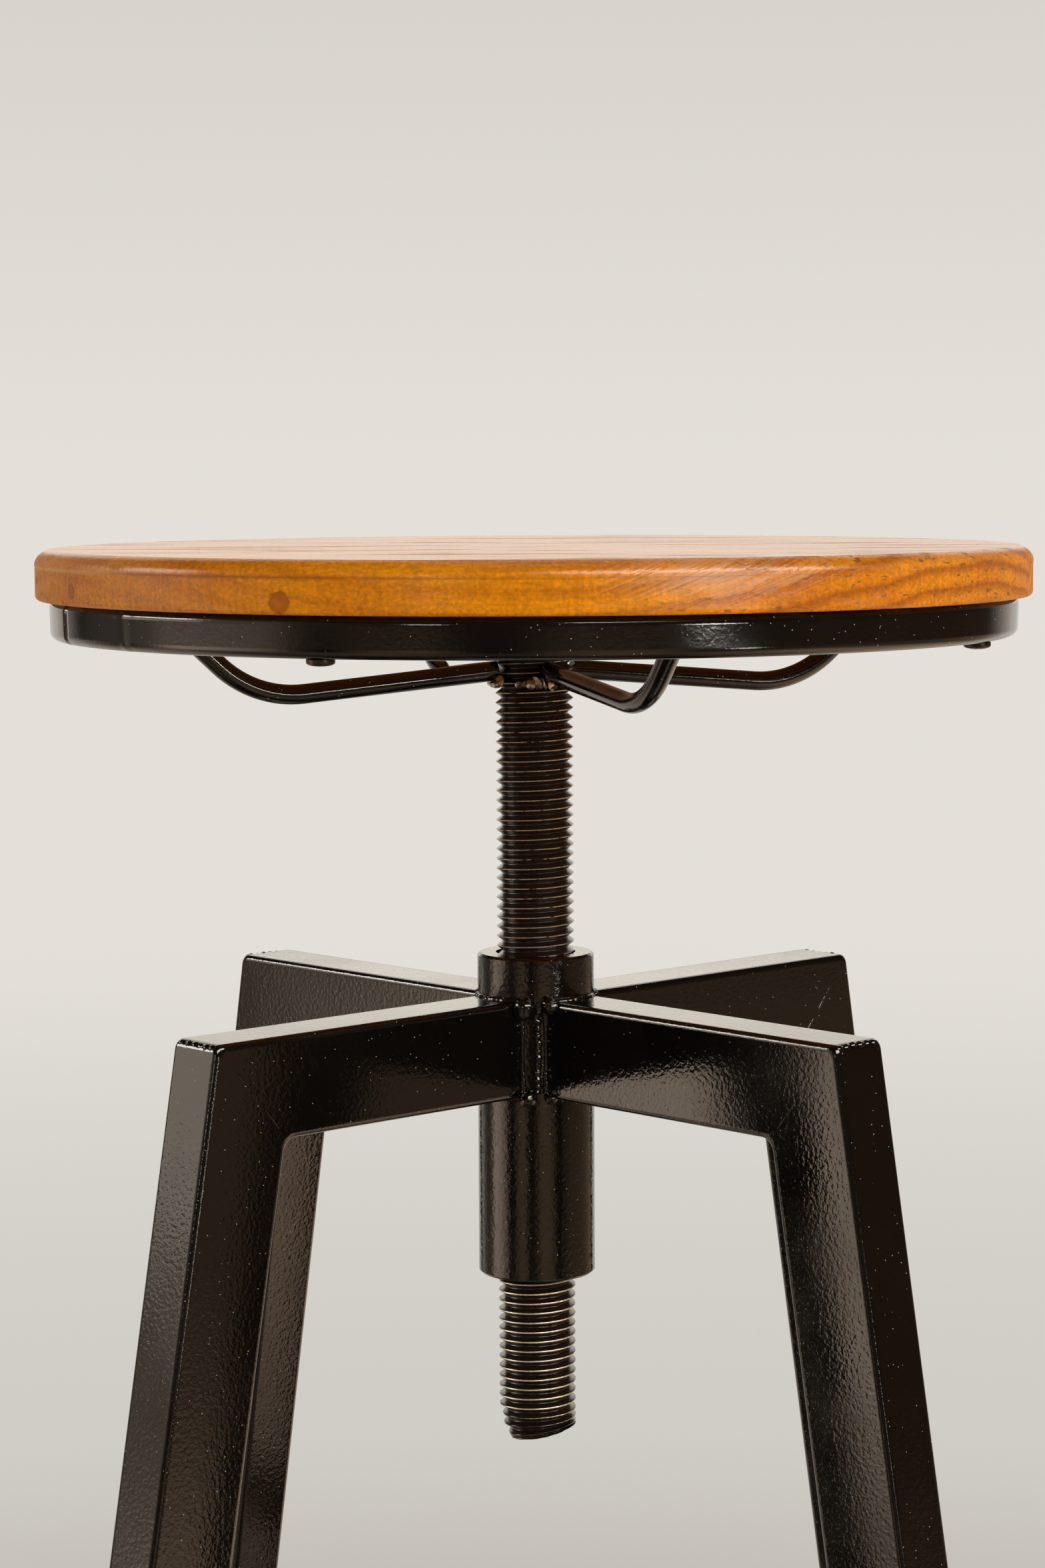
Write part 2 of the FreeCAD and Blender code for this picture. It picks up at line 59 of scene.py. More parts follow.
# Places taken from the frame
SEAT_UNDER, SEAT_TOP = (corner.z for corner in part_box("seat_stave_3"))
SEAT_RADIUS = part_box("seat_stave_3")[1].x
RING_UNDER, RING_TOP = (corner.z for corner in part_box("seat_ring"))
RING_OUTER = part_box("seat_ring")[1].x
RING_TUBE = RING_TOP - RING_UNDER
RING_LEVEL = (RING_TOP + RING_UNDER) / 2
RING_MIDDLE = RING_OUTER - RING_TUBE / 2
SPINDLE_FOOT, SPINDLE_HEAD = (corner.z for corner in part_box("spindle"))
THREAD_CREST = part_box("spindle")[1].x
HUB_FOOT, HUB_TOP = (corner.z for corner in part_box("hub_sleeve"))
HUB_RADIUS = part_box("hub_sleeve")[1].x
ARM_UNDER, ARM_TOP = (corner.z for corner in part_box("arm_front_right"))

# Sizes that the frame's boxes don't show
SEAT_TOP_ROUND = 4.5 * MM
SEAT_BOTTOM_ROUND = 1.5 * MM
# Centre of the scratched spot on the rim, where a pale sheen is painted into the colour as a painted
# highlight
SCRATCH_AND_SHEEN_SPOT = (54 * MM, -141 * MM, SEAT_TOP - SEAT_TOP_ROUND)
STAVE_JOINTS = [-105 * MM, -35 * MM, 35 * MM, 105 * MM]
RING_CORNER = 2.5 * MM
THREAD_PITCH = 3 * MM
THREAD_DEPTH = 1.75 * MM
SCREW_HEAD_RADIUS = 4 * MM
SCREW_HEAD_HEIGHT = 2.2 * MM
TUBE_DEPTH = 30 * MM
TUBE_WIDTH = 20 * MM
ARM_REACH = 133 * MM
LEG_SPLAY = math.radians(10.1)
MITRE_INNER = ARM_REACH - TUBE_DEPTH * (1 - math.sin(LEG_SPLAY)) / math.cos(LEG_SPLAY)
STRUT_ANGLES = [math.radians(22.5) + k * math.pi / 2 for k in range(4)]
STRUT_LEVEL = 662 * MM
STRUT_RADIUS = 3 * MM
ARM_ANGLES = [math.radians(-45) + k * math.pi / 2 for k in range(4)]
FOOT_HEIGHT = 6 * MM
FOOT_WIDTH = 21.6 * MM
FOOT_CORNER = 2.5 * MM


def linear(code):
    """sRGB hex code to a linear colour."""
    parts = [int(code[k:k + 2], 16) / 255 for k in (1, 3, 5)]
    return [c / 12.92 if c <= 0.04045 else ((c + 0.055) / 1.055) ** 2.4 for c in parts] + [1.0]


def add(tree, kind, inputs=None, **properties):
    """Adds a node: properties are set on it, and each input gets a value or a link.

    A link comes from a socket, or from a node, which stands for its first output in use.
    """
    node = tree.nodes.new(kind)
    for name, value in properties.items():
        setattr(node, name, value)
    for name, value in (inputs or {}).items():
        if isinstance(value, bpy.types.Node):
            value = next(output for output in value.outputs if output.enabled)
        if isinstance(value, bpy.types.NodeSocket):
            tree.links.new(value, node.inputs[name])
        else:
            node.inputs[name].default_value = value
    return node


def new_material(name):
    """Empty material, its tree, and the place on the object that its patterns read."""
    material = bpy.data.materials.new(name)
    material.use_nodes = True
    tree = material.node_tree
    tree.nodes.clear()
    return material, tree, add(tree, "ShaderNodeTexCoord").outputs["Object"]


def close_material(tree, shader):
    """Ends a material with its shader."""
    add(tree, "ShaderNodeOutputMaterial", {"Surface": shader})


def stretched_noise(tree, place, size, detail, shift=(0, 0, 0), turn=(0, 0, 0)):
    """Noise drawn out to a size along each axis, and moved and turned with it."""
    spot = add(tree, "ShaderNodeMapping", {
        "Vector": place, "Location": shift, "Rotation": turn, "Scale": size}, vector_type="TEXTURE")
    return add(tree, "ShaderNodeTexNoise", {"Vector": spot, "Scale": 1.0, "Detail": detail})


def growth_rings(tree, place, split, pith, tilt, ring_width, drift):
    """Share of dark late wood in the rings round a pith, which show more towards the right."""
    along_grain = 1000.0
    wobble_size, wobble_rings = (90 * MM, 30 * MM, 30 * MM), 0.8
    early_wood = (0.15, 0.15, 0.15, 1)
    off_pith = add(tree, "ShaderNodeMapping", {
        "Vector": place, "Location": pith, "Rotation": tilt,
        "Scale": (along_grain, ring_width, ring_width)}, vector_type="TEXTURE")
    wobble = stretched_noise(tree, place, wobble_size, 3.0, (drift, drift, 0))
    reach = add(tree, "ShaderNodeVectorMath", {0: off_pith}, operation="LENGTH")
    count = add(tree, "ShaderNodeMath", {0: wobble, 1: wobble_rings, 2: reach}, operation="MULTIPLY_ADD")
    ring = add(tree, "ShaderNodeMath", {0: count}, operation="FRACT")
    late_wood = add(tree, "ShaderNodeValToRGB", {"Fac": ring})
    for end in late_wood.color_ramp.elements:
        end.color = early_wood
    for position, value in ((0.15, 0.0), (0.4, 0.05), (0.68, 0.75), (0.82, 1.0)):
        late_wood.color_ramp.elements.new(position).color = (value, value, value, 1)
    ring_show = add(tree, "ShaderNodeMapRange", {
        "Value": split.outputs["X"], "From Min": -40 * MM, "From Max": 90 * MM,
        "To Min": 0.25, "To Max": 0.8})
    return add(tree, "ShaderNodeMath", {0: late_wood, 1: ring_show}, operation="MULTIPLY")


def router_line(tree, split, colour):
    """Colour with the line that the rounding cutter left on the rim: burnt, and pale at its left end."""
    line_height = SEAT_TOP - SEAT_TOP_ROUND - 0.3 * MM
    off_line = add(tree, "ShaderNodeMath", {0: split.outputs["Z"], 1: line_height}, operation="SUBTRACT")
    gap = add(tree, "ShaderNodeMath", {0: off_line}, operation="ABSOLUTE")
    line = add(tree, "ShaderNodeMapRange", {"Value": gap, "From Min": 0.9 * MM, "From Max": 0.1 * MM})
    fade = add(tree, "ShaderNodeMapRange", {
        "Value": split.outputs["X"], "From Min": -50 * MM, "From Max": 30 * MM,
        "To Min": 0.6, "To Max": 0.12})
    left_end = add(tree, "ShaderNodeMapRange", {
        "Value": split.outputs["X"], "From Min": -105 * MM, "From Max": -125 * MM})
    line_colour = add(tree, "ShaderNodeMix", {
        0: left_end, 6: linear("#8a4a06"), 7: linear("#dba765")}, data_type="RGBA")
    burnt = add(tree, "ShaderNodeMath", {0: line, 1: fade}, operation="MULTIPLY")
    return add(tree, "ShaderNodeMix", {0: burnt, 6: colour, 7: line_colour}, data_type="RGBA")


def rim_knots(tree, place, fleck, colour, knots):
    """Colour with brown knots, each given by its centre and size, darkest at a frayed edge."""
    fray = 0.25
    for centre, size in knots:
        knot_at = add(tree, "ShaderNodeMapping", {
            "Vector": place, "Location": centre, "Scale": size}, vector_type="TEXTURE")
        distance = add(tree, "ShaderNodeVectorMath", {0: knot_at}, operation="LENGTH")
        frayed = add(tree, "ShaderNodeMath", {0: fleck, 1: fray, 2: distance}, operation="MULTIPLY_ADD")
        knot = add(tree, "ShaderNodeValToRGB", {"Fac": frayed})
        heart, outside = knot.color_ramp.elements
        heart.position, heart.color = 0.3, (0.5, 0.5, 0.5, 1)
        outside.position, outside.color = 1.0, (0, 0, 0, 1)
        knot.color_ramp.elements.new(0.86).color = (0.75, 0.75, 0.75, 1)
        colour = add(tree, "ShaderNodeMix", {0: knot, 6: colour, 7: linear("#8f4206")}, data_type="RGBA")
    return colour


def torn_grain(tree, place, split, drift):
    """Share of torn fibres, where the cutter ran against the grain: at the front right and back left."""
    tear_size = (4 * MM, 4 * MM, 1.4 * MM)
    crossed = add(tree, "ShaderNodeMath", {
        0: split.outputs["X"], 1: split.outputs["Y"]}, operation="MULTIPLY")
    lifted = add(tree, "ShaderNodeMapRange", {"Value": crossed, "From Min": -0.0035, "From Max": -0.0085})
    spots = add(tree, "ShaderNodeMapRange", {
        "Value": stretched_noise(tree, place, tear_size, 4.0, (drift, 0, drift)),
        "From Min": 0.6, "From Max": 0.68})
    return add(tree, "ShaderNodeMath", {0: lifted, 1: spots}, operation="MULTIPLY")


def painted_sheen_share(tree, place, scratch):
    """Share of a painted highlight: a pale sheen painted into the rim's colour, streaked by the scratches.
    """
    painted_sheen_size = (36 * MM, 36 * MM, 7 * MM)
    painted_sheen_at = add(tree, "ShaderNodeMapping", {
        "Vector": place, "Location": SCRATCH_AND_SHEEN_SPOT, "Scale": painted_sheen_size}, vector_type="TEXTURE")
    distance = add(tree, "ShaderNodeVectorMath", {0: painted_sheen_at}, operation="LENGTH")
    streaked = add(tree, "ShaderNodeMath", {0: scratch, 1: -2.4, 2: distance}, operation="MULTIPLY_ADD")
    return add(tree, "ShaderNodeMapRange", {
        "Value": streaked, "From Min": -0.3, "From Max": -1.4, "To Max": 0.5})


def stained_pine(name, pith, tilt, ring_width, drift, knots):
    """Pine staves, turned, stained honey brown and varnished to a satin skin.

    The eye gets growth rings round each stave's pith, long fibres along X, short dark pores, clouds and
    streaks in the stain, and comb marks up the rim. The rim also has knots, a burnt router line, torn grain
    where the cutter lifted the fibres, duller ends, and a scratched spot with a painted highlight: a pale
    sheen painted into its colour.
    """
    fibre_size = (40 * MM, 0.9 * MM, 0.9 * MM)
    pore_size = (5 * MM, 0.45 * MM, 0.45 * MM)
    cloud_size = (70 * MM, 28 * MM, 28 * MM)
    streak_size = (60 * MM, 9 * MM, 2.7 * MM)
    comb_size = (1.7 * MM, 1.7 * MM, 45 * MM)
    scratch_size, scratch_slope = (24 * MM, 24 * MM, 0.6 * MM), math.radians(-22)
    # The flecks are drawn twice as coarse as they are, to show at the render's size
    fleck_size = 1.1 * MM

    material, tree, place = new_material(name)
    split = add(tree, "ShaderNodeSeparateXYZ", {"Vector": place})
    ringing = growth_rings(tree, place, split, pith, tilt, ring_width, drift)
    fibre = stretched_noise(tree, place, fibre_size, 5.0, (drift, 0, 0))
    comb = stretched_noise(tree, place, comb_size, 3.0, (0, drift, 0))
    scratch = stretched_noise(tree, place, scratch_size, 3.0, turn=(0, scratch_slope, 0))
    fleck = add(tree, "ShaderNodeTexNoise", {"Vector": place, "Scale": 1 / fleck_size, "Detail": 3.0})
    pore = add(tree, "ShaderNodeMapRange", {
        "Value": stretched_noise(tree, place, pore_size, 2.0, (0, drift, 0)),
        "From Min": 0.62, "From Max": 0.8, "To Max": 0.4})
    cloud = add(tree, "ShaderNodeMapRange", {
        "Value": stretched_noise(tree, place, cloud_size, 2.0, (0, 0, drift)),
        "From Min": 0.3, "From Max": 0.7})
    streak = add(tree, "ShaderNodeMapRange", {
        "Value": stretched_noise(tree, place, streak_size, 4.0, (drift, drift, 0)),
        "From Min": 0.56, "From Max": 0.7})
    tear = torn_grain(tree, place, split, drift)

    streaked = add(tree, "ShaderNodeMath", {0: streak, 1: -0.12, 2: fibre}, operation="MULTIPLY_ADD")
    shades = []
    for pattern, darkest, lightest in ((streaked, 0.84, 1.1), (fleck, 0.78, 1.2), (comb, 0.9, 1.1)):
        shades.append(add(tree, "ShaderNodeMapRange", {
            "Value": pattern, "From Min": 0.3, "From Max": 0.7, "To Min": darkest, "To Max": lightest}))
    shade = add(tree, "ShaderNodeMath", {0: shades[0], 1: shades[1]}, operation="MULTIPLY")
    shade = add(tree, "ShaderNodeMath", {0: shade, 1: shades[2]}, operation="MULTIPLY")

    stain = add(tree, "ShaderNodeMix", {
        0: cloud, 6: linear("#c87102"), 7: linear("#dd8a02")}, data_type="RGBA")
    ringed = add(tree, "ShaderNodeMix", {0: ringing, 6: stain, 7: linear("#9c4c03")}, data_type="RGBA")
    fibred = add(tree, "ShaderNodeMix", {
        0: 1.0, 6: ringed, 7: shade}, data_type="RGBA", blend_type="MULTIPLY")
    pored = add(tree, "ShaderNodeMix", {0: pore, 6: fibred, 7: linear("#6f3a0c")}, data_type="RGBA")
    lined = router_line(tree, split, pored)
    knotted = rim_knots(tree, place, fleck, lined, knots)
    torn = add(tree, "ShaderNodeMix", {0: tear, 6: knotted, 7: linear("#8a5213")}, data_type="RGBA")
    # Painted highlight: a pale sheen painted into the colour at the scratched spot on the rim
    rubbed = add(tree, "ShaderNodeMix", {
        0: painted_sheen_share(tree, place, scratch), 6: torn, 7: linear("#dcb896")}, data_type="RGBA")

    dents = add(tree, "ShaderNodeMath", {0: tear, 1: -2.0, 2: fibre}, operation="MULTIPLY_ADD")
    off_spot = add(tree, "ShaderNodeMath", {0: split.outputs["X"], 1: SCRATCH_AND_SHEEN_SPOT[0]}, operation="SUBTRACT")
    spot_gap = add(tree, "ShaderNodeMath", {0: off_spot}, operation="ABSOLUTE")
    scraped = add(tree, "ShaderNodeMapRange", {
        "Value": spot_gap, "From Min": 45 * MM, "From Max": 12 * MM, "To Min": 0.8, "To Max": 2.2})
    marks = add(tree, "ShaderNodeMath", {0: scratch, 1: scraped, 2: dents}, operation="MULTIPLY_ADD")
    height = add(tree, "ShaderNodeMath", {0: pore, 1: -0.6, 2: marks}, operation="MULTIPLY_ADD")
    bump = add(tree, "ShaderNodeBump", {"Strength": 0.28, "Distance": 0.22 * MM, "Height": height})

    gloss = add(tree, "ShaderNodeMapRange", {
        "Value": fibre, "From Min": 0.3, "From Max": 0.7, "To Min": 0.31, "To Max": 0.22})
    dulled = add(tree, "ShaderNodeMath", {0: streak, 1: 0.3, 2: gloss}, operation="MULTIPLY_ADD")
    off_middle = add(tree, "ShaderNodeMath", {0: split.outputs["X"]}, operation="ABSOLUTE")
    end_grain = add(tree, "ShaderNodeMapRange", {
        "Value": off_middle, "From Min": 85 * MM, "From Max": 140 * MM, "To Min": -0.06, "To Max": 0.3})
    on_rim = add(tree, "ShaderNodeMapRange", {
        "Value": split.outputs["Z"], "From Min": SEAT_TOP - 0.3 * MM, "From Max": SEAT_TOP - 1.5 * MM})
    matted = add(tree, "ShaderNodeMath", {0: end_grain, 1: on_rim, 2: dulled}, operation="MULTIPLY_ADD")
    close_material(tree, add(tree, "ShaderNodeBsdfPrincipled", {
        "Base Color": rubbed, "Roughness": matted, "IOR": 1.38, "Normal": bump}))
    return material


def powder_coat(name, peel):
    """Gloss black powder coat on steel tube.

    The eye gets near black with hard reflections, broken by orange peel and by a few pale specks, partly
    dust and partly painted highlights that stand for glints off tiny bumps.
    """
    peel_size, grit_size, patch_size = 1.3 * MM, 0.6 * MM, 30 * MM
    speck_spacing, speck_radius = 2.5 * MM, 0.19 * MM

    material, tree, place = new_material(name)
    peel_noise = add(tree, "ShaderNodeTexNoise", {"Vector": place, "Scale": 1 / peel_size, "Detail": 1.5})
    grit = add(tree, "ShaderNodeTexNoise", {"Vector": place, "Scale": 1 / grit_size, "Detail": 1.0})
    patches = add(tree, "ShaderNodeTexNoise", {"Vector": place, "Scale": 1 / patch_size, "Detail": 2.0})
    dust_and_glint_cells = add(tree, "ShaderNodeTexVoronoi", {"Vector": place, "Scale": 1 / speck_spacing})
    dust_and_glint = add(tree, "ShaderNodeMapRange", {
        "Value": dust_and_glint_cells.outputs["Distance"], "From Min": speck_radius / speck_spacing,
        "From Max": 0.6 * speck_radius / speck_spacing})
    # Pale specks: partly dust, partly painted highlights that stand for glints off tiny bumps in the coat
    colour = add(tree, "ShaderNodeMix", {
        0: dust_and_glint, 6: linear("#080605"), 7: linear("#b4ab9f")}, data_type="RGBA")
    gloss = add(tree, "ShaderNodeMapRange", {
        "Value": patches, "From Min": 0.3, "From Max": 0.7, "To Min": 0.06, "To Max": 0.16})
    height = add(tree, "ShaderNodeMath", {0: grit, 1: 0.2, 2: peel_noise}, operation="MULTIPLY_ADD")
    bump = add(tree, "ShaderNodeBump", {"Strength": peel, "Distance": 0.12 * MM, "Height": height})
    close_material(tree, add(tree, "ShaderNodeBsdfPrincipled", {
        "Base Color": colour, "Roughness": gloss, "IOR": 1.6,
        "Normal": bump}))
    return material


def thread_steel():
    """Cut steel thread under thin black paint, rubbed bright on the crests by the hub.

    The eye gets glossy brown-black flanks and a thin broken line of bare steel along each crest.
    """
    material, tree, place = new_material("painted_thread_steel")
    split = add(tree, "ShaderNodeSeparateXYZ", {"Vector": place})
    level = add(tree, "ShaderNodeCombineXYZ", {"X": split.outputs["X"], "Y": split.outputs["Y"]})
    radius = add(tree, "ShaderNodeVectorMath", {0: level}, operation="LENGTH")
    crest = add(tree, "ShaderNodeMapRange", {
        "Value": radius,
        "From Min": THREAD_CREST - 0.22 * MM, "From Max": THREAD_CREST - 0.1 * MM})
    worn_by_height = add(tree, "ShaderNodeMapRange", {
        "Value": split.outputs["Z"], "From Min": HUB_FOOT, "From Max": HUB_TOP,
        "To Min": 0.74, "To Max": 0.62})
    chips = add(tree, "ShaderNodeTexNoise", {"Vector": place, "Scale": 1 / (3.5 * MM), "Detail": 4.0})
    kept = add(tree, "ShaderNodeMath", {0: worn_by_height, 1: chips}, operation="SUBTRACT")
    bare = add(tree, "ShaderNodeMapRange", {"Value": kept, "From Min": -0.03, "From Max": 0.1})
    wear = add(tree, "ShaderNodeMath", {0: crest, 1: bare}, operation="MULTIPLY")
    paint = add(tree, "ShaderNodeMix", {
        0: chips, 6: linear("#150e0a"), 7: linear("#2a1d14")}, data_type="RGBA")
    colour = add(tree, "ShaderNodeMix", {0: wear, 6: paint, 7: linear("#efe5d2")}, data_type="RGBA")
    grit = add(tree, "ShaderNodeTexNoise", {"Vector": place, "Scale": 1 / (0.8 * MM), "Detail": 3.0})
    gloss = add(tree, "ShaderNodeMapRange", {"Value": grit, "To Min": 0.12, "To Max": 0.3})
    rubbed = add(tree, "ShaderNodeMath", {0: wear, 1: 0.25, 2: gloss}, operation="MULTIPLY_ADD")
    bump = add(tree, "ShaderNodeBump", {"Strength": 0.35, "Distance": 0.12 * MM, "Height": grit})
    close_material(tree, add(tree, "ShaderNodeBsdfPrincipled", {
        "Base Color": colour, "Metallic": wear, "Roughness": rubbed,
        "Normal": bump}))
    return material


def blackened_screw():
    """Blackened steel wood screws: dark metal with a soft sheen and rubbed spots."""
    material, tree, place = new_material("blackened_steel_screw")
    rub = add(tree, "ShaderNodeTexNoise", {"Vector": place, "Scale": 1 / (1.5 * MM), "Detail": 3.0})
    colour = add(tree, "ShaderNodeMix", {
        0: rub, 6: linear("#2a2420"), 7: linear("#5c534b")}, data_type="RGBA")
    close_material(tree, add(tree, "ShaderNodeBsdfPrincipled", {
        "Base Color": colour, "Metallic": 1.0, "Roughness": 0.38}))
    return material


def scorched_weld():
    """Mild steel weld crumbs with their paint burnt off: grey-brown metal with bright facets."""
    material, tree, place = new_material("scorched_steel_weld")
    scale = add(tree, "ShaderNodeTexNoise", {"Vector": place, "Scale": 1 / (1.2 * MM), "Detail": 3.0})
    colour = add(tree, "ShaderNodeMix", {
        0: scale, 6: linear("#5c534a"), 7: linear("#d8cec0")}, data_type="RGBA")
    bump = add(tree, "ShaderNodeBump", {"Strength": 0.6, "Distance": 0.3 * MM, "Height": scale})
    close_material(tree, add(tree, "ShaderNodeBsdfPrincipled", {
        "Base Color": colour, "Metallic": 1.0, "Roughness": 0.34, "Normal": bump}))
    return material


def moulded_plastic():
    """Moulded black polypropylene: a dull skin with fine spark-eroded grain and grey scuffs."""
    material, tree, place = new_material("moulded_black_plastic")
    grain = add(tree, "ShaderNodeTexNoise", {"Vector": place, "Scale": 1 / (0.5 * MM), "Detail": 2.0})
    scuff = add(tree, "ShaderNodeTexNoise", {"Vector": place, "Scale": 1 / (9 * MM), "Detail": 5.0})
    worn = add(tree, "ShaderNodeMapRange", {"Value": scuff, "From Min": 0.5, "From Max": 0.75})
    colour = add(tree, "ShaderNodeMix", {
        0: worn, 6: linear("#141312"), 7: linear("#2b2927")}, data_type="RGBA")
    bump = add(tree, "ShaderNodeBump", {"Strength": 0.5, "Distance": 0.05 * MM, "Height": grain})
    close_material(tree, add(tree, "ShaderNodeBsdfPrincipled", {
        "Base Color": colour, "Roughness": 0.5, "IOR": 1.49, "Normal": bump}))
    return material


def in_scene(name, data):
    """New object in the scene, at the origin."""
    thing = bpy.data.objects.new(name, data)
    bpy.context.scene.collection.objects.link(thing)
    return thing


def new_piece(name, mesh, material, sharp_angle=35):
    """Object from a mesh with one material, smooth but for its sharp edges."""
    mesh.materials.clear()
    mesh.materials.append(material)
    for face in mesh.polygons:
        face.use_smooth = True
    mesh.set_sharp_from_angle(angle=math.radians(sharp_angle))
    return in_scene(name, mesh)


def mesh_from(name, work):
    """Mesh from a bmesh, with its doubles merged and its faces turned outwards."""
    bmesh.ops.remove_doubles(work, verts=work.verts, dist=0.002 * MM)
    bmesh.ops.recalc_face_normals(work, faces=work.faces)
    mesh = bpy.data.meshes.new(name)
    work.to_mesh(mesh)
    work.free()
    return mesh


def dress(piece, body, slot, *nodes):
    """Rides a piece on its body, in place of the named nodes; the slot is not used."""
    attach(piece, body)
    if nodes:
        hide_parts(*nodes)


def arc(centre_r, centre_z, radius, start, end, steps):
    """Points of a profile's rounded corner, with angles in degrees from outwards towards up."""
    points = []
    for k in range(steps + 1):
        angle = math.radians(start + (end - start) * k / steps)
        points.append((centre_r + radius * math.cos(angle), centre_z + radius * math.sin(angle)))
    return points


def rounded_corners(half_long, half_wide, radius, steps, support=0):
    """The corners of a rounded rectangle as four lists of points, from the first quarter round.

    With support, each list begins and ends with a point that much further along the straight sides.
    """
    corners = []
    for k, (x, y) in enumerate(((1, 1), (-1, 1), (-1, -1), (1, -1))):
        points = arc(
            x * (half_long - radius), y * (half_wide - radius), radius, 90 * k, 90 * (k + 1), steps)
        if support:
            first, last = math.radians(90 * k), math.radians(90 * (k + 1))
            before = (points[0][0] + support * math.sin(first), points[0][1] - support * math.cos(first))
            after = (points[-1][0] - support * math.sin(last), points[-1][1] + support * math.cos(last))
            points = [before] + points + [after]
        corners.append(points)
    return corners


def skin(work, rows, closed):
    """Faces between neighbouring rows of points; closed rows end where they begin."""
    for here, there in zip(rows, rows[1:]):
        for j in range(len(here) if closed else len(here) - 1):
            i = (j + 1) % len(here)
            work.faces.new((here[j], there[j], there[i], here[i]))


def turned(profile, segments, closed=False, shift=None):
    """Bmesh of a profile turned about Z; shift(angle, r, z) moves points a little."""
    work = bmesh.new()
    rows = []
    for k in range(segments):
        angle = 2 * math.pi * k / segments
        row = []
        for r, z in profile:
            if shift:
                r, z = shift(angle, r, z)
            row.append(work.verts.new((r * math.cos(angle), r * math.sin(angle), z)))
        rows.append(row)
    skin(work, rows + rows[:1], closed)
    if not closed:
        work.faces.new([row[0] for row in rows])
        work.faces.new([row[-1] for row in reversed(rows)])
    return work


def cut(work, point, normal):
    """Cuts away what lies beyond a plane and closes the cut."""
    parts = list(work.verts) + list(work.edges) + list(work.faces)
    result = bmesh.ops.bisect_plane(
        work, geom=parts, plane_co=point, plane_no=normal, clear_outer=True, dist=0.001 * MM)
    rim = [item for item in result["geom_cut"] if isinstance(item, bmesh.types.BMEdge)]
    bmesh.ops.holes_fill(work, edges=rim)


def make_staves():
    """Five staves: one board turned with its rounded edges, parted along the glue joints."""
    support = 0.4 * MM
    round_run, round_end, round_steps = 4.1 * MM, math.radians(62), 10
    router_step = 0.1 * MM
    glue_gap = 0.05 * MM
    side = SEAT_RADIUS - router_step
    round_foot = SEAT_TOP - SEAT_TOP_ROUND
    run, rise = round_run / (1 - math.cos(round_end)), SEAT_TOP_ROUND / math.sin(round_end)
    profile = [(SEAT_RADIUS - round_run - support, SEAT_TOP)]
    for k in range(round_steps, -1, -1):
        angle = round_end * k / round_steps
        profile.append((SEAT_RADIUS - run * (1 - math.cos(angle)), round_foot + rise * math.sin(angle)))
    step_top, step_foot = round_foot - 0.2 * MM, round_foot - 0.35 * MM
    profile += [
        (SEAT_RADIUS, step_top), (side, step_foot), (side, step_foot - support),
        (side, SEAT_UNDER + SEAT_BOTTOM_ROUND + support)]
    profile += reversed(arc(
        side - SEAT_BOTTOM_ROUND, SEAT_UNDER + SEAT_BOTTOM_ROUND, SEAT_BOTTOM_ROUND, -90, 0, 10))
    profile += [(side - SEAT_BOTTOM_ROUND - support, SEAT_UNDER)]

    pith_depth = SEAT_UNDER - 145 * MM
    big_knot = ((-63.9 * MM, -135.7 * MM, 688.4 * MM), (4.4 * MM, 4.4 * MM, 4.1 * MM))
    side_knot = ((-128.6 * MM, -77.1 * MM, 689.5 * MM), (4 * MM, 3.2 * MM, 3.4 * MM))
    pin_knot = ((-97.5 * MM, -114.0 * MM, 694.9 * MM), (1.1 * MM, 1.1 * MM, 0.9 * MM))
    # Place of the pith, its dip and slew in degrees, ring width, drift of the patterns, knots
    looks = [
        (-72 * MM, pith_depth, 0.7, -1.5, 6 * MM, 0.013, [big_knot, pin_knot]),
        (-72 * MM, pith_depth, 0.7, -1.5, 6 * MM, 0.013, [side_knot]),
        (12 * MM, SEAT_UNDER - 40 * MM, -1, 2, 6 * MM, 0.231, []),
        (66 * MM, SEAT_TOP + 14 * MM, 1, -2, 7 * MM, 0.377, []),
        (120 * MM, SEAT_UNDER - 25 * MM, 2, 3, 5.5 * MM, 0.519, []),
    ]
    edges = [None] + STAVE_JOINTS + [None]
    for k, (pith_y, pith_z, dip, slew, ring_width, drift, knots) in enumerate(looks):
        work = turned(profile, 288)
        if edges[k] is not None:
            cut(work, (0, edges[k] + glue_gap, 0), (0, -1, 0))
        if edges[k + 1] is not None:
            cut(work, (0, edges[k + 1] - glue_gap, 0), (0, 1, 0))
        name = f"varnished_stave_{k + 1}"
        material = stained_pine(
            f"stained_pine_{k + 1}", (0, pith_y, pith_z), (0, math.radians(dip), math.radians(slew)),
            ring_width, drift, knots)
        piece = new_piece(name, mesh_from(name, work), material, sharp_angle=14)
        dress(piece, "seat", "stained_wood", f"seat_stave_{k + 1}")


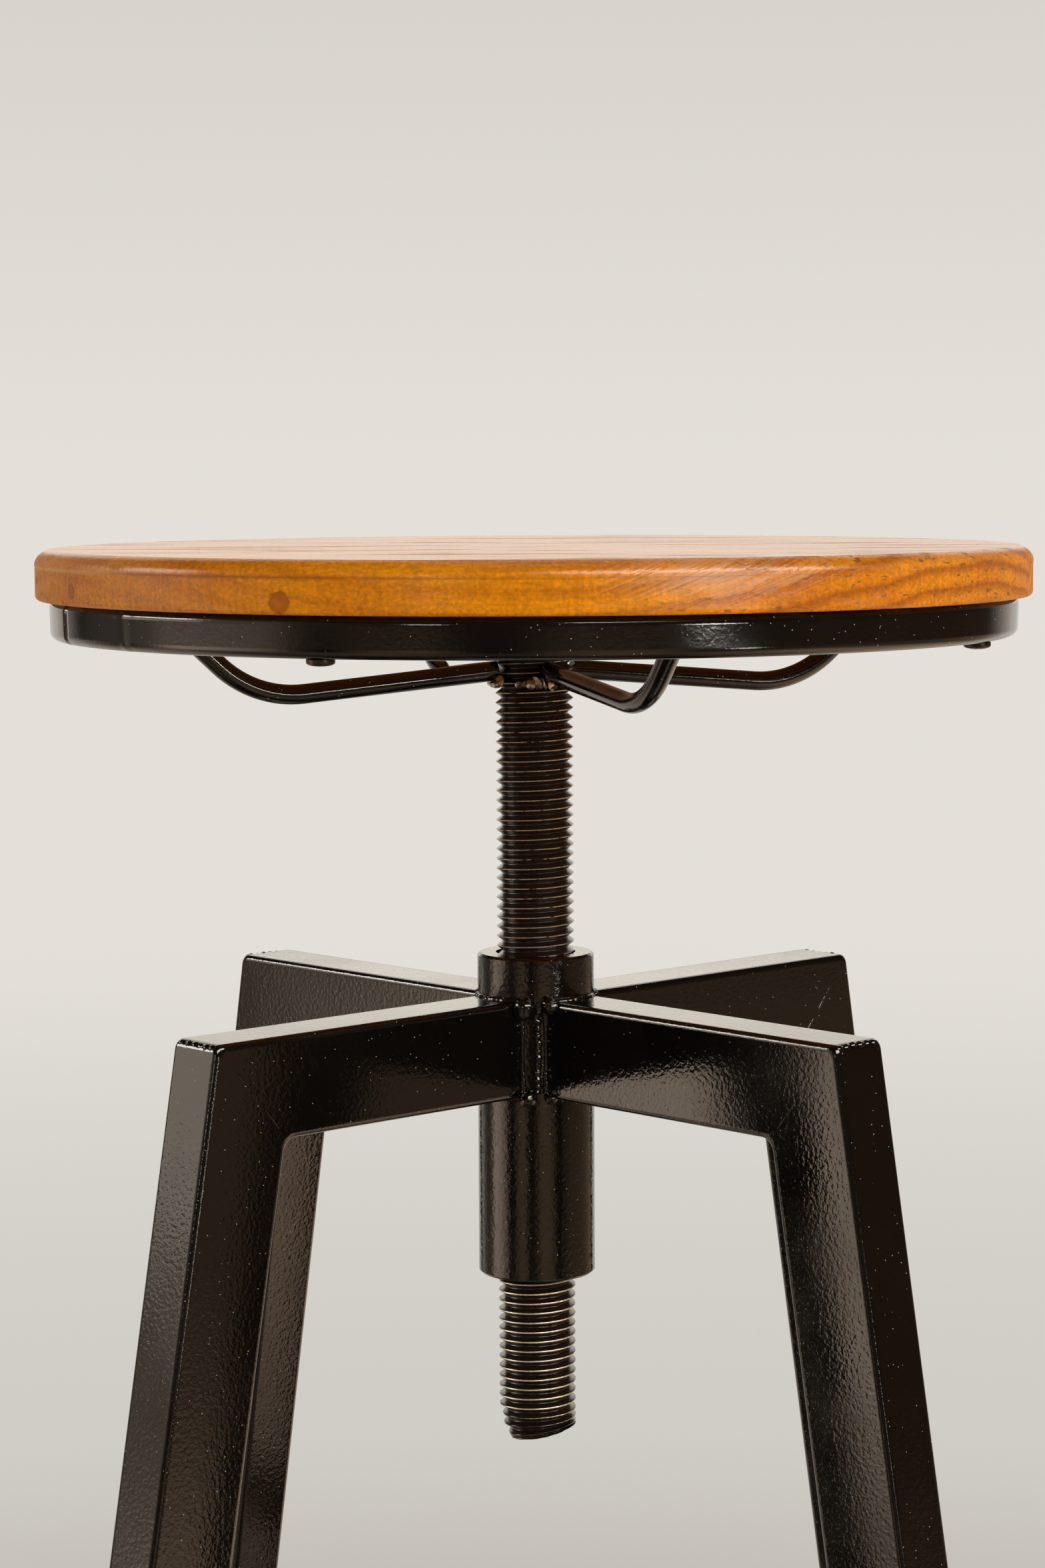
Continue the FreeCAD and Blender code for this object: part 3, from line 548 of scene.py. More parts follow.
def make_ring(coat):
    """Rolled square tube, a little uneven, with its butt weld on the left and a ripple beside it."""
    lean = math.tan(math.radians(1.7))
    wave_height = 0.12 * MM
    seam, seam_width, seam_depth = math.radians(-156.3), 0.8 * MM, 1.1 * MM
    ripple, ripple_width = math.radians(-140), 3 * MM
    ripple_height, ripple_length = 0.25 * MM, 1.4 * MM
    corners = rounded_corners(RING_TUBE / 2, RING_TUBE / 2, RING_CORNER, 6, support=0.4 * MM)
    profile = [(RING_MIDDLE + x, RING_LEVEL + z) for corner in corners[::-1] for x, z in corner[::-1]]

    def uneven(angle, r, z):
        """Rolling waves and lean, the sunken butt weld and the ripple that its heat left."""
        wave = wave_height * noise.noise(around(1, angle, 0) * 5)
        off_seam = math.remainder(angle - seam, 2 * math.pi) * RING_OUTER
        weld = -seam_depth * math.exp(-(off_seam / seam_width) ** 2)
        off_ripple = math.remainder(angle - ripple, 2 * math.pi) * RING_OUTER
        fading = math.exp(-(off_ripple / ripple_width) ** 2)
        swell = ripple_height * fading * math.cos(off_ripple / ripple_length)
        return r + wave + weld + swell + lean * (z - RING_LEVEL), z

    work = turned(profile, 720, closed=True, shift=uneven)
    piece = new_piece("rolled_ring", mesh_from("rolled_ring", work), coat)
    dress(piece, "seat", "black_coat", "seat_ring")


def new_tree(name, inputs):
    """Geometry Nodes tree with named inputs, and its group input node."""
    tree = bpy.data.node_groups.new(name, "GeometryNodeTree")
    tree.interface.new_socket("Geometry", in_out="OUTPUT", socket_type="NodeSocketGeometry")
    tree.interface.new_socket("Geometry", in_out="INPUT", socket_type="NodeSocketGeometry")
    for label, kind in inputs:
        tree.interface.new_socket(label, in_out="INPUT", socket_type=kind)
    return tree, add(tree, "NodeGroupInput")


def close_tree(tree, geometry, material):
    """Ends a tree with plain geometry in one material."""
    real = add(tree, "GeometryNodeRealizeInstances", {"Geometry": geometry})
    painted = add(tree, "GeometryNodeSetMaterial", {"Geometry": real, "Material": material})
    add(tree, "NodeGroupOutput", {"Geometry": painted})


def baked_mesh(thing):
    """Plain mesh of an object as its modifiers leave it."""
    depsgraph = bpy.context.evaluated_depsgraph_get()
    return bpy.data.meshes.new_from_object(thing.evaluated_get(depsgraph))


def grown_mesh(name, source_mesh, tree, values):
    """Mesh that a tree grows from a source mesh, with input values given by name."""
    source = in_scene(name + "_source", source_mesh)
    modifier = source.modifiers.new(tree.name, "NODES")
    modifier.node_group = tree
    for item in tree.interface.items_tree:
        if item.in_out == "INPUT" and item.name in values:
            modifier[item.identifier] = values[item.name]
    mesh = baked_mesh(source)
    source.modifiers.remove(modifier)
    bpy.data.objects.remove(source)
    mesh.name = name
    return mesh


def thread_tree(material):
    """A strip one pitch wide, wound into a right-hand thread with rounded crests and roots."""
    number, whole = "NodeSocketFloat", "NodeSocketInt"
    tree, given = new_tree("wound_thread", [
        ("Crest Radius", number), ("Depth", number), ("Pitch", number), ("Turns", number),
        ("Foot", number), ("Worn Below", number), ("Sharp Above", number), ("Unevenness", number),
        ("Across", whole), ("Along", whole)])
    strip = add(tree, "GeometryNodeMeshGrid", {
        "Size X": 1.0, "Size Y": 1.0,
        "Vertices X": given.outputs["Across"], "Vertices Y": given.outputs["Along"]})
    spot = add(tree, "ShaderNodeSeparateXYZ", {0: add(tree, "GeometryNodeInputPosition")})
    along = add(tree, "ShaderNodeMath", {0: spot.outputs["Y"], 1: 0.5})
    turn = add(tree, "ShaderNodeMath", {0: along, 1: given.outputs["Turns"]}, operation="MULTIPLY")
    angle = add(tree, "ShaderNodeMath", {0: turn, 1: 2 * math.pi}, operation="MULTIPLY")
    rise = add(tree, "ShaderNodeMath", {0: turn, 1: spot.outputs["X"]})
    height = add(tree, "ShaderNodeMath", {
        0: rise, 1: given.outputs["Pitch"], 2: given.outputs["Foot"]}, operation="MULTIPLY_ADD")
    off_crest = add(tree, "ShaderNodeMath", {0: spot.outputs["X"]}, operation="ABSOLUTE")
    worn = add(tree, "ShaderNodeMapRange", {
        "Value": height,
        "From Min": given.outputs["Sharp Above"], "From Max": given.outputs["Worn Below"]})
    sharp_fall = add(tree, "ShaderNodeMapRange", {
        "Value": off_crest, "From Min": 0.02, "From Max": 0.46, "To Max": given.outputs["Depth"]})
    round_fall = add(tree, "ShaderNodeMapRange", {
        "Value": off_crest, "From Min": 0.0, "From Max": 0.48,
        "To Max": given.outputs["Depth"]}, interpolation_type="SMOOTHSTEP")
    fall = add(tree, "ShaderNodeMix", {0: worn, 2: sharp_fall, 3: round_fall})
    fall_share = add(tree, "ShaderNodeMath", {
        0: given.outputs["Crest Radius"], 1: fall}, operation="SUBTRACT")
    cosine = add(tree, "ShaderNodeMath", {0: angle}, operation="COSINE")
    sine = add(tree, "ShaderNodeMath", {0: angle}, operation="SINE")
    flat_spot = add(tree, "ShaderNodeCombineXYZ", {"X": cosine, "Y": sine, "Z": rise})
    nicks = add(tree, "ShaderNodeTexNoise", {"Vector": flat_spot, "Scale": 9.0, "Detail": 2.0})
    nick = add(tree, "ShaderNodeMath", {0: nicks, 1: given.outputs["Unevenness"]}, operation="MULTIPLY")
    radius = add(tree, "ShaderNodeMath", {0: fall_share, 1: nick}, operation="SUBTRACT")
    x = add(tree, "ShaderNodeMath", {0: radius, 1: cosine}, operation="MULTIPLY")
    y = add(tree, "ShaderNodeMath", {0: radius, 1: sine}, operation="MULTIPLY")
    wound = add(tree, "ShaderNodeCombineXYZ", {"X": x, "Y": y, "Z": height})
    placed = add(tree, "GeometryNodeSetPosition", {"Geometry": strip.outputs["Mesh"], "Position": wound})
    joined = add(tree, "GeometryNodeMergeByDistance", {"Geometry": placed, "Distance": 0.01 * MM})
    close_tree(tree, joined, material)
    return tree


def make_spindle(material):
    """Threaded rod with a true helix; its lower end is sawn askew and crushed on the left."""
    spare_turns, points_across, points_a_turn = 2, 19, 44
    crushed, saw_rise, burr_height, roughness = 11 * MM, 1.5 * MM, 4.8 * MM, 0.5 * MM
    turns = math.ceil((SPINDLE_HEAD - SPINDLE_FOOT) / THREAD_PITCH) + 2 * spare_turns
    foot = SPINDLE_FOOT - spare_turns * THREAD_PITCH
    mesh = grown_mesh("spindle_thread", bpy.data.meshes.new("strip"), thread_tree(material), {
        "Crest Radius": THREAD_CREST, "Depth": THREAD_DEPTH, "Pitch": THREAD_PITCH, "Turns": float(turns),
        "Foot": foot, "Worn Below": HUB_FOOT, "Sharp Above": HUB_TOP, "Unevenness": 0.1 * MM,
        "Across": points_across, "Along": points_a_turn * turns + 1})
    work = bmesh.new()
    work.from_mesh(mesh)
    bpy.data.meshes.remove(mesh)
    bmesh.ops.remove_doubles(work, verts=work.verts, dist=0.01 * MM)
    cut(work, (0, 0, SPINDLE_HEAD), (0, 0, 1))
    cut(work, (0, 0, SPINDLE_FOOT), (0, 0, -1))
    for vert in work.verts:
        depth = (SPINDLE_FOOT + crushed - vert.co.z) / crushed
        if depth <= 0:
            continue
        across = vert.co.x / THREAD_CREST
        radius = math.hypot(vert.co.x, vert.co.y) / THREAD_CREST
        dent = max(0, -across) ** 1.5 * (0.2 + 0.05 * math.sin(9 * depth))
        burr = burr_height * max(0, radius - 0.75) * max(0, across)
        lift = saw_rise * (1 + across) + burr + roughness * abs(noise.noise(vert.co * 260))
        vert.co.x *= 1 - dent * min(1, 1.3 * depth)
        vert.co.y *= 1 - 0.03 * depth
        vert.co.z += lift * depth ** 2
    piece = new_piece("spindle_thread", mesh_from("spindle_thread", work), material, sharp_angle=48)
    dress(piece, "seat", "thread_steel", "spindle")


def bead_tree(material):
    """Weld beads along paths: a round run with ripples, uneven in size and place."""
    number = "NodeSocketFloat"
    tree, given = new_tree("weld_bead", [
        ("Step", number), ("Ripple Spacing", number), ("Ripple", number), ("Unevenness", number)])
    path = add(tree, "GeometryNodeMeshToCurve", {"Mesh": given.outputs["Geometry"]})
    fine = add(tree, "GeometryNodeResampleCurve", {
        "Curve": path, "Length": given.outputs["Step"]}, mode="LENGTH")
    bead = add(tree, "GeometryNodeInputNamedAttribute", {"Name": "bead"}, data_type="FLOAT")
    run = add(tree, "GeometryNodeSplineParameter")
    phase = add(tree, "ShaderNodeMath", {
        0: run.outputs["Length"], 1: given.outputs["Ripple Spacing"]}, operation="DIVIDE")
    turn = add(tree, "ShaderNodeMath", {0: phase, 1: 2 * math.pi}, operation="MULTIPLY")
    wave = add(tree, "ShaderNodeMath", {0: turn}, operation="SINE")
    ripple = add(tree, "ShaderNodeMath", {
        0: wave, 1: given.outputs["Ripple"], 2: 1.0}, operation="MULTIPLY_ADD")
    spot = add(tree, "GeometryNodeInputPosition")
    lumps = add(tree, "ShaderNodeTexNoise", {"Vector": spot, "Scale": 1 / (5 * MM), "Detail": 2.0})
    centred = add(tree, "ShaderNodeVectorMath", {
        0: lumps.outputs["Color"], 1: (0.5, 0.5, 0.5)}, operation="SUBTRACT")
    lump = add(tree, "ShaderNodeMath", {
        0: lumps, 1: given.outputs["Unevenness"], 2: ripple}, operation="MULTIPLY_ADD")
    radius = add(tree, "ShaderNodeMath", {0: bead, 1: lump}, operation="MULTIPLY")
    sway = add(tree, "ShaderNodeVectorMath", {0: centred, "Scale": radius}, operation="SCALE")
    swayed = add(tree, "GeometryNodeSetPosition", {"Geometry": fine, "Offset": sway})
    section = add(tree, "GeometryNodeCurvePrimitiveCircle", {"Resolution": 16, "Radius": 1.0})
    body = add(tree, "GeometryNodeCurveToMesh", {
        "Curve": swayed, "Profile Curve": section, "Scale": radius,
        "Fill Caps": True})
    close_tree(tree, body, material)
    return tree


def path_mesh(name, paths):
    """Mesh of open polylines; each point is a place and the bead's radius there."""
    points = []
    edges = []
    radii = []
    for path in paths:
        first = len(points)
        for place, radius in path:
            points.append(place)
            radii.append(radius)
        edges += [(k, k + 1) for k in range(first, len(points) - 1)]
    mesh = bpy.data.meshes.new(name)
    mesh.from_pydata(points, edges, [])
    mesh.attributes.new("bead", "FLOAT", "POINT").data.foreach_set("value", radii)
    return mesh


def around(radius, angle, z):
    """Place at a radius and an angle about the spindle's axis."""
    return Vector((radius * math.cos(angle), radius * math.sin(angle), z))


def hub_welds():
    """Fillets beside the arms, blobs at their ends, and a crumbly run up the middle of each valley."""
    front_valley, other_bulk = 3, 0.45
    fillet = ((0.05, 1.0), (0.3, 0.6), (0.5, 0.5), (0.7, 0.6), (0.92, 1.2))
    blob = ((-1.0, 0.4), (-0.92, 1.2), (-0.7, 2.2), (-0.35, 2.8), (0, 3.0), (0.35, 2.8), (0.7, 2.2),
            (0.92, 1.2), (1.0, 0.4))
    blob_reach, blob_shift, blob_half_height = 1.6 * MM, 0.08, 2.9 * MM
    run_steps, run_pitch, run_start, run_shift = 24, 1.1 * MM, ARM_TOP - 3 * MM, 0.06
    end_bead = 1.1 * MM
    half = math.asin(TUBE_WIDTH / 2 / HUB_RADIUS)
    paths = []
    for k, arm in enumerate(ARM_ANGLES):
        valley = arm + math.pi / 4
        full = 1.0 if k == front_valley else other_bulk
        for side, top, foot, sink in ((-1, 1.05, 0.8, 2.2 * MM), (1, 0.92, 0.6, 1.2 * MM)):
            edge = valley + side * (math.pi / 4 - half)
            paths.append([
                (around(HUB_RADIUS + 0.1 * MM, edge, ARM_UNDER + (ARM_TOP - ARM_UNDER) * share), size * MM)
                for share, size in fillet])
            for level, bulk in ((ARM_TOP - sink, full * top), (ARM_UNDER + 0.2 * MM, full * foot)):
                paths.append([
                    (around(HUB_RADIUS + blob_reach * full, edge + blob_shift,
                            level + blob_half_height * bulk * lift), size * bulk * MM)
                    for lift, size in blob])
        run = []
        for step in range(run_steps):
            jitter = noise.noise_vector(Vector((step * 1.7, k * 4.1, 0.6)))
            size = (1.25 if step % 2 else 0.75) + 0.35 * jitter.y
            angle = valley + run_shift + 0.06 * jitter.x
            run.append((around(HUB_RADIUS + 0.4 * MM, angle, run_start - step * run_pitch), size * MM))
        paths.append(run)
        for level in (ARM_TOP - 0.3 * MM, ARM_UNDER + 0.3 * MM):
            paths.append([
                (around(HUB_RADIUS + 0.3 * MM, arm + half * share, level), end_bead)
                for share in (-0.95, -0.5, 0, 0.5, 0.95)])
    return paths


def leg_welds():
    """Dressed seams on the sides of each mitre, and the bead over its outer corner."""
    bead_steps, bead_reach = 12, 0.84
    seam_bead, seam_reach = 0.42 * MM, 0.965
    paths = []
    for arm in ARM_ANGLES:
        side = around(TUBE_WIDTH / 2, arm + math.pi / 2, 0)
        corner = around(ARM_REACH - 1.3 * MM, arm, ARM_TOP - 1.4 * MM)
        paths.append([
            (corner + side * (2 * step / bead_steps - 1) * bead_reach, (1.25 if step % 2 else 0.85) * MM)
            for step in range(bead_steps + 1)])
        for hand in (-1, 1):
            seam = []
            for share in (0.12, 0.25, 0.4, 0.55, 0.7):
                reach = MITRE_INNER + (ARM_REACH - MITRE_INNER) * share
                level = ARM_UNDER + (ARM_TOP - ARM_UNDER) * share
                seam.append((around(reach, arm, level) + side * hand * seam_reach, seam_bead))
            paths.append(seam)
    return paths


def strut_welds():
    """Beads where the rods meet the ring."""
    bead, bead_steps = 1.1 * MM, 6
    paths = []
    for angle in STRUT_ANGLES:
        middle = around(RING_OUTER - RING_TUBE - 0.1 * MM, angle, RING_LEVEL)
        side = around(1, angle + math.pi / 2, 0)
        loop = []
        for step in range(bead_steps + 1):
            swing = 2 * math.pi * step / bead_steps - math.pi / 2
            offset = side * math.cos(swing) + UP * math.sin(swing)
            loop.append((middle + offset * STRUT_RADIUS, bead))
        paths.append(loop)
    return paths


def spindle_crumbs():
    """Rough crumbs of weld where the rods meet the spindle, heaped below each rod."""
    crumbs, spacing, heap_shift, longest = 14, 0.08, -0.22, 4 * MM
    paths = []
    for k, angle in enumerate(STRUT_ANGLES):
        out, side = around(1, angle, 0), around(1, angle + math.pi / 2, 0)
        for crumb in range(crumbs):
            jitter = noise.noise_vector(Vector((crumb * 3.7, k * 5.3, 1.9)))
            swing = angle + heap_shift + (crumb - (crumbs - 1) / 2) * spacing
            start = around(THREAD_CREST + 0.8 * MM, swing, STRUT_LEVEL - (3.6 + 1.8 * jitter.x) * MM)
            size = (1.3 + 0.7 * jitter.z) * MM
            end = start + (side * jitter.y + UP * jitter.x + out * 0.5 * jitter.z) * longest
            middle = (start + end) / 2 + UP * 0.5 * MM * jitter.z
            paths.append([(start, 0.5 * size), (middle, size), (end, 0.4 * size)])
    return paths


def make_welds(coat, bare_weld):
    """Weld beads of the base and the seat under the black coat, and the scorched crumbs on the spindle."""
    # Name, body, slot, finish, paths, height of the ripples, unevenness
    groups = [
        ("weld_beads_base", "base", "black_coat", coat, hub_welds() + leg_welds(), 0.04, 0.3),
        ("weld_beads_seat", "seat", "black_coat", coat, strut_welds(), 0.2, 0.9),
        ("weld_crumbs_seat", "seat", "screw_steel", bare_weld, spindle_crumbs(), 0.2, 0.9)]
    for name, body, slot, finish, paths, ripple, unevenness in groups:
        mesh = grown_mesh(name, path_mesh(name + "_paths", paths), bead_tree(finish), {
            "Step": 0.35 * MM, "Ripple Spacing": 1.8 * MM, "Ripple": ripple, "Unevenness": unevenness})
        work = bmesh.new()
        work.from_mesh(mesh)
        bpy.data.meshes.remove(mesh)
        piece = new_piece(name, mesh_from(name, work), finish, sharp_angle=60)
        dress(piece, body, slot)


def make_legs(coat):
    """Each arm and leg as one tube, with rounded edges, slightly bowed sides and a dressed mitre."""
    arm_start = 13.2 * MM
    edge_round, edge_steps, support, bow = 1.8 * MM, 6, 0.5 * MM, 0.12 * MM
    outer_round, inner_round, mitre_steps = 3 * MM, 5 * MM, 10
    half_depth, half_width = TUBE_DEPTH / 2, TUBE_WIDTH / 2
    tangent = math.tan((math.pi / 2 - LEG_SPLAY) / 2)
    outer_centre = Vector((ARM_REACH - outer_round * tangent, ARM_TOP - outer_round))
    inner_centre = Vector((MITRE_INNER - inner_round * tangent, ARM_UNDER - inner_round))
    stations = [(Vector((arm_start, ARM_UNDER)), Vector((arm_start, ARM_TOP)))]
    for k in range(mitre_steps + 1):
        angle = math.pi / 2 + (LEG_SPLAY - math.pi / 2) * k / mitre_steps
        way = Vector((math.cos(angle), math.sin(angle)))
        stations.append((inner_centre + inner_round * way, outer_centre + outer_round * way))
    slope = math.tan(LEG_SPLAY)
    stations.append((
        Vector((MITRE_INNER + (ARM_UNDER - FOOT_HEIGHT) * slope, FOOT_HEIGHT)),
        Vector((ARM_REACH + (ARM_TOP - FOOT_HEIGHT) * slope, FOOT_HEIGHT))))

    section = []
    for k, corner in enumerate(rounded_corners(half_depth, half_width, edge_round, edge_steps, support)):
        section += corner
        if k % 2 == 0:
            hand = 1 - k
            for share in (0.8, 0.5, 0.2, -0.2, -0.5, -0.8):
                section.append((
                    hand * share * (half_depth - edge_round - support),
                    hand * (half_width + bow * (1 - share ** 2))))

    for corner_name, arm in zip(CORNERS, ARM_ANGLES):
        side = around(1, arm + math.pi / 2, 0)
        work = bmesh.new()
        rows = []
        for inner, outer in stations:
            middle, reach = (inner + outer) / 2, (outer - inner) / TUBE_DEPTH
            row = []
            for a, b in section:
                spot = middle + reach * a
                row.append(work.verts.new(around(spot.x, arm, spot.y) + side * b))
            rows.append(row)
        skin(work, rows, closed=True)
        work.faces.new(rows[0])
        work.faces.new(list(reversed(rows[-1])))
        name = f"mitred_leg_{corner_name}"
        piece = new_piece(name, mesh_from(name, work), coat)
        dress(piece, "base", "black_coat", f"arm_{corner_name}", f"leg_{corner_name}")


def screw_pattern():
    """One pan head, upside down under the ring, with a cross recess."""
    edge = 0.45 * SCREW_HEAD_HEIGHT
    dome, dome_steps, bevel = SCREW_HEAD_HEIGHT - edge, 8, 0.2 * MM
    recess_mouth = (-SCREW_HEAD_HEIGHT - 0.5 * MM, 2.3 * MM, 0.55 * MM)
    recess_floor = (-SCREW_HEAD_HEIGHT + 1.3 * MM, 1.2 * MM, 0.35 * MM)
    profile = [(0.3 * MM, -SCREW_HEAD_HEIGHT)]
    for k in range(1, dome_steps + 1):
        angle = math.pi / 2 * k / dome_steps
        profile.append((SCREW_HEAD_RADIUS * math.sin(angle), -edge - dome * math.cos(angle) ** 0.8))
    profile += [(SCREW_HEAD_RADIUS, -bevel), (SCREW_HEAD_RADIUS - bevel, 0)]
    head = in_scene("screw_head", mesh_from("screw_head", turned(profile, 40)))

    slot = bmesh.new()
    for turn in (0, math.pi / 2):
        spin = Matrix.Rotation(turn, 4, "Z")
        rows = []
        for z, half_long, half_wide in (recess_mouth, recess_floor):
            rows.append([
                slot.verts.new(spin @ Vector((x * half_long, y * half_wide, z)))
                for x, y in ((-1, -1), (1, -1), (1, 1), (-1, 1))])
        slot.faces.new(rows[0])
        slot.faces.new(list(reversed(rows[1])))
        skin(slot, rows, closed=True)
    cross = in_scene("cross_recess", mesh_from("cross_recess", slot))
    recess = head.modifiers.new("recess", "BOOLEAN")
    recess.object = cross
    recess.operation = "DIFFERENCE"
    recess.use_self = True
    mesh = baked_mesh(head)
    bpy.data.objects.remove(head)
    bpy.data.objects.remove(cross)
    return mesh


def make_screws(material):
    """Four pan heads under the ring, midway between the struts, each stopped at its own turn."""
    turns = [0.3, 1.1, 0.7, 1.9]
    tree, given = new_tree("screw_row", [("Pattern", "NodeSocketObject")])
    pattern = add(tree, "GeometryNodeObjectInfo", {"Object": given.outputs["Pattern"]})
    spin = add(tree, "GeometryNodeInputNamedAttribute", {"Name": "spin"}, data_type="FLOAT")
    turn = add(tree, "ShaderNodeCombineXYZ", {"Z": spin})
    heads = add(tree, "GeometryNodeInstanceOnPoints", {
        "Points": given.outputs["Geometry"], "Instance": pattern.outputs["Geometry"], "Rotation": turn})
    close_tree(tree, heads, material)

    points = bpy.data.meshes.new("screw_places")
    places = [around(RING_MIDDLE, angle + math.pi / 4, RING_UNDER) for angle in STRUT_ANGLES]
    points.from_pydata(places, [], [])
    points.attributes.new("spin", "FLOAT", "POINT").data.foreach_set("value", turns)
    one = in_scene("screw_pattern", screw_pattern())
    mesh = grown_mesh("screw_heads", points, tree, {"Pattern": one})
    bpy.data.objects.remove(one)
    piece = new_piece("screw_heads", mesh, material, sharp_angle=30)
    dress(piece, "seat", "screw_steel", "seat_screws")


def make_feet(material):
    """Moulded soles under the legs, with eased edges and a parting step."""
    mounts = {mount["name"]: mount for mount in frame["record"]["mounts"]}
    sole_length = TUBE_DEPTH / math.cos(LEG_SPLAY) + FOOT_WIDTH - TUBE_WIDTH
    # Height and inset of the side, from the floor up
    levels = [
        (0.0, 1.2 * MM), (0.25 * MM, 0.7 * MM), (0.9 * MM, 0.15 * MM), (1.6 * MM, 0.0), (4.2 * MM, 0.0),
        (4.3 * MM, 0.25 * MM), (4.6 * MM, 0.25 * MM), (4.7 * MM, 0.0), (5.6 * MM, 0.0),
        (5.9 * MM, 0.15 * MM), (FOOT_HEIGHT, 0.5 * MM)]
    for corner_name in CORNERS:
        middle = Vector(mounts[f"floor_{corner_name}"]["pos_m"])
        out = Vector((middle.x, middle.y, 0)).normalized()
        side = Vector((-out.y, out.x, 0))
        work = bmesh.new()
        rows = []
        for height, inset in levels:
            corners = rounded_corners(
                sole_length / 2 - inset, FOOT_WIDTH / 2 - inset, FOOT_CORNER - inset, 6)
            rows.append([
                work.verts.new(middle + out * x + side * y + UP * height)
                for corner in corners for x, y in corner])
        skin(work, rows, closed=True)
        work.faces.new(list(reversed(rows[0])))
        work.faces.new(rows[-1])
        name = f"moulded_foot_{corner_name}"
        piece = new_piece(name, mesh_from(name, work), material)
        dress(piece, "base", "black_plastic", f"foot_{corner_name}")


def make_cap(material):
    """Push-on cap over the spindle's top end, with a rounded shoulder."""
    low, high = (corner.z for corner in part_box("spindle_cap"))
    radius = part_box("spindle_cap")[1].x
    wall = 1.2 * MM
    profile = [(radius - 2 * wall, high)] + list(reversed(arc(radius - wall, high - wall, wall, 0, 90, 6)))
    profile += [(radius, low), (radius - wall, low), (radius - wall, high - wall)]
    work = turned(profile, 64)
    piece = new_piece("spindle_end_cap", mesh_from("spindle_end_cap", work), material)
    dress(piece, "lift", "black_plastic", "spindle_cap")


def paint_frame(coat, smooth_coat, rough_coat):
    """Gives the carried-over nodes their finish."""
    for name, node in frame["nodes"].items():
        if name.startswith("rail_"):
            node.data.materials[0] = coat
        elif name.startswith("strut_"):
            node.data.materials[0] = smooth_coat
        elif name == "hub_sleeve":
            node.data.materials[0] = rough_coat


BACKDROP_HIGH = "#d8d4cc"
BACKDROP_LEVEL = "#e4e0d9"
FLOOR_NEAR = "#cfccc5"


def seen_by_eye_or_gloss(tree):
    """1 for rays from the camera, off a gloss or through glass, and 0 for the rays that light things."""
    light = add(tree, "ShaderNodeLightPath")
    seen = add(tree, "ShaderNodeMath", {
        0: light.outputs["Is Camera Ray"], 1: light.outputs["Is Glossy Ray"]}, operation="MAXIMUM")
    return add(tree, "ShaderNodeMath", {
        0: seen, 1: light.outputs["Is Transmission Ray"]}, operation="MAXIMUM")


def make_world():
    """Even soft daylight; the pale background shows to the camera and in reflections."""
    world = bpy.data.worlds.new("studio")
    bpy.context.scene.world = world
    world.use_nodes = True
    tree = world.node_tree
    tree.nodes.clear()
    sky = add(tree, "ShaderNodeSeparateXYZ", {0: add(tree, "ShaderNodeTexCoord").outputs["Generated"]})
    rise = add(tree, "ShaderNodeMapRange", {"Value": sky.outputs["Z"], "From Min": 0.0, "From Max": 0.12})
    shade = add(tree, "ShaderNodeMix", {
        0: rise, 6: linear(BACKDROP_LEVEL), 7: linear(BACKDROP_HIGH)}, data_type="RGBA")
    ambient = add(tree, "ShaderNodeBackground", {"Color": linear("#fffaf3"), "Strength": 0.5})
    backdrop = add(tree, "ShaderNodeBackground", {"Color": shade, "Strength": 1.0})
    mixed = add(tree, "ShaderNodeMixShader", {0: seen_by_eye_or_gloss(tree), 1: ambient, 2: backdrop})
    add(tree, "ShaderNodeOutputWorld", {"Surface": mixed})


def make_floor():
    """Pale floor that keeps the shadow near the stool and fades into the background."""
    material, tree, place = new_material("pale_floor")
    distance = add(tree, "ShaderNodeVectorMath", {0: place}, operation="LENGTH")
    far = add(tree, "ShaderNodeMapRange", {
        "Value": distance, "From Min": 0.8, "From Max": 1.6}, interpolation_type="SMOOTHSTEP")
    level = add(tree, "ShaderNodeMapRange", {
        "Value": distance, "From Min": 1.2, "From Max": 4.5}, interpolation_type="SMOOTHSTEP")
    shade = add(tree, "ShaderNodeMix", {
        0: level, 6: linear(FLOOR_NEAR), 7: linear(BACKDROP_LEVEL)}, data_type="RGBA")
    faded = add(tree, "ShaderNodeMath", {0: far, 1: seen_by_eye_or_gloss(tree)}, operation="MULTIPLY")
    paper = add(tree, "ShaderNodeBsdfDiffuse", {"Color": linear("#d4d2ce")})
    glow = add(tree, "ShaderNodeEmission", {"Color": shade, "Strength": 1.0})
    mixed = add(tree, "ShaderNodeMixShader", {0: faded, 1: paper, 2: glow})
    close_material(tree, mixed)
    work = bmesh.new()
    bmesh.ops.create_circle(work, cap_ends=True, segments=96, radius=14)
    floor = new_piece("floor", mesh_from("floor", work), material)


def from_camera(azimuth, distance, z):
    """Place round the stool; azimuth is in degrees to the right of the camera's side."""
    angle = math.radians(azimuth)
    return Vector((distance * math.sin(angle), -distance * math.cos(angle), z))


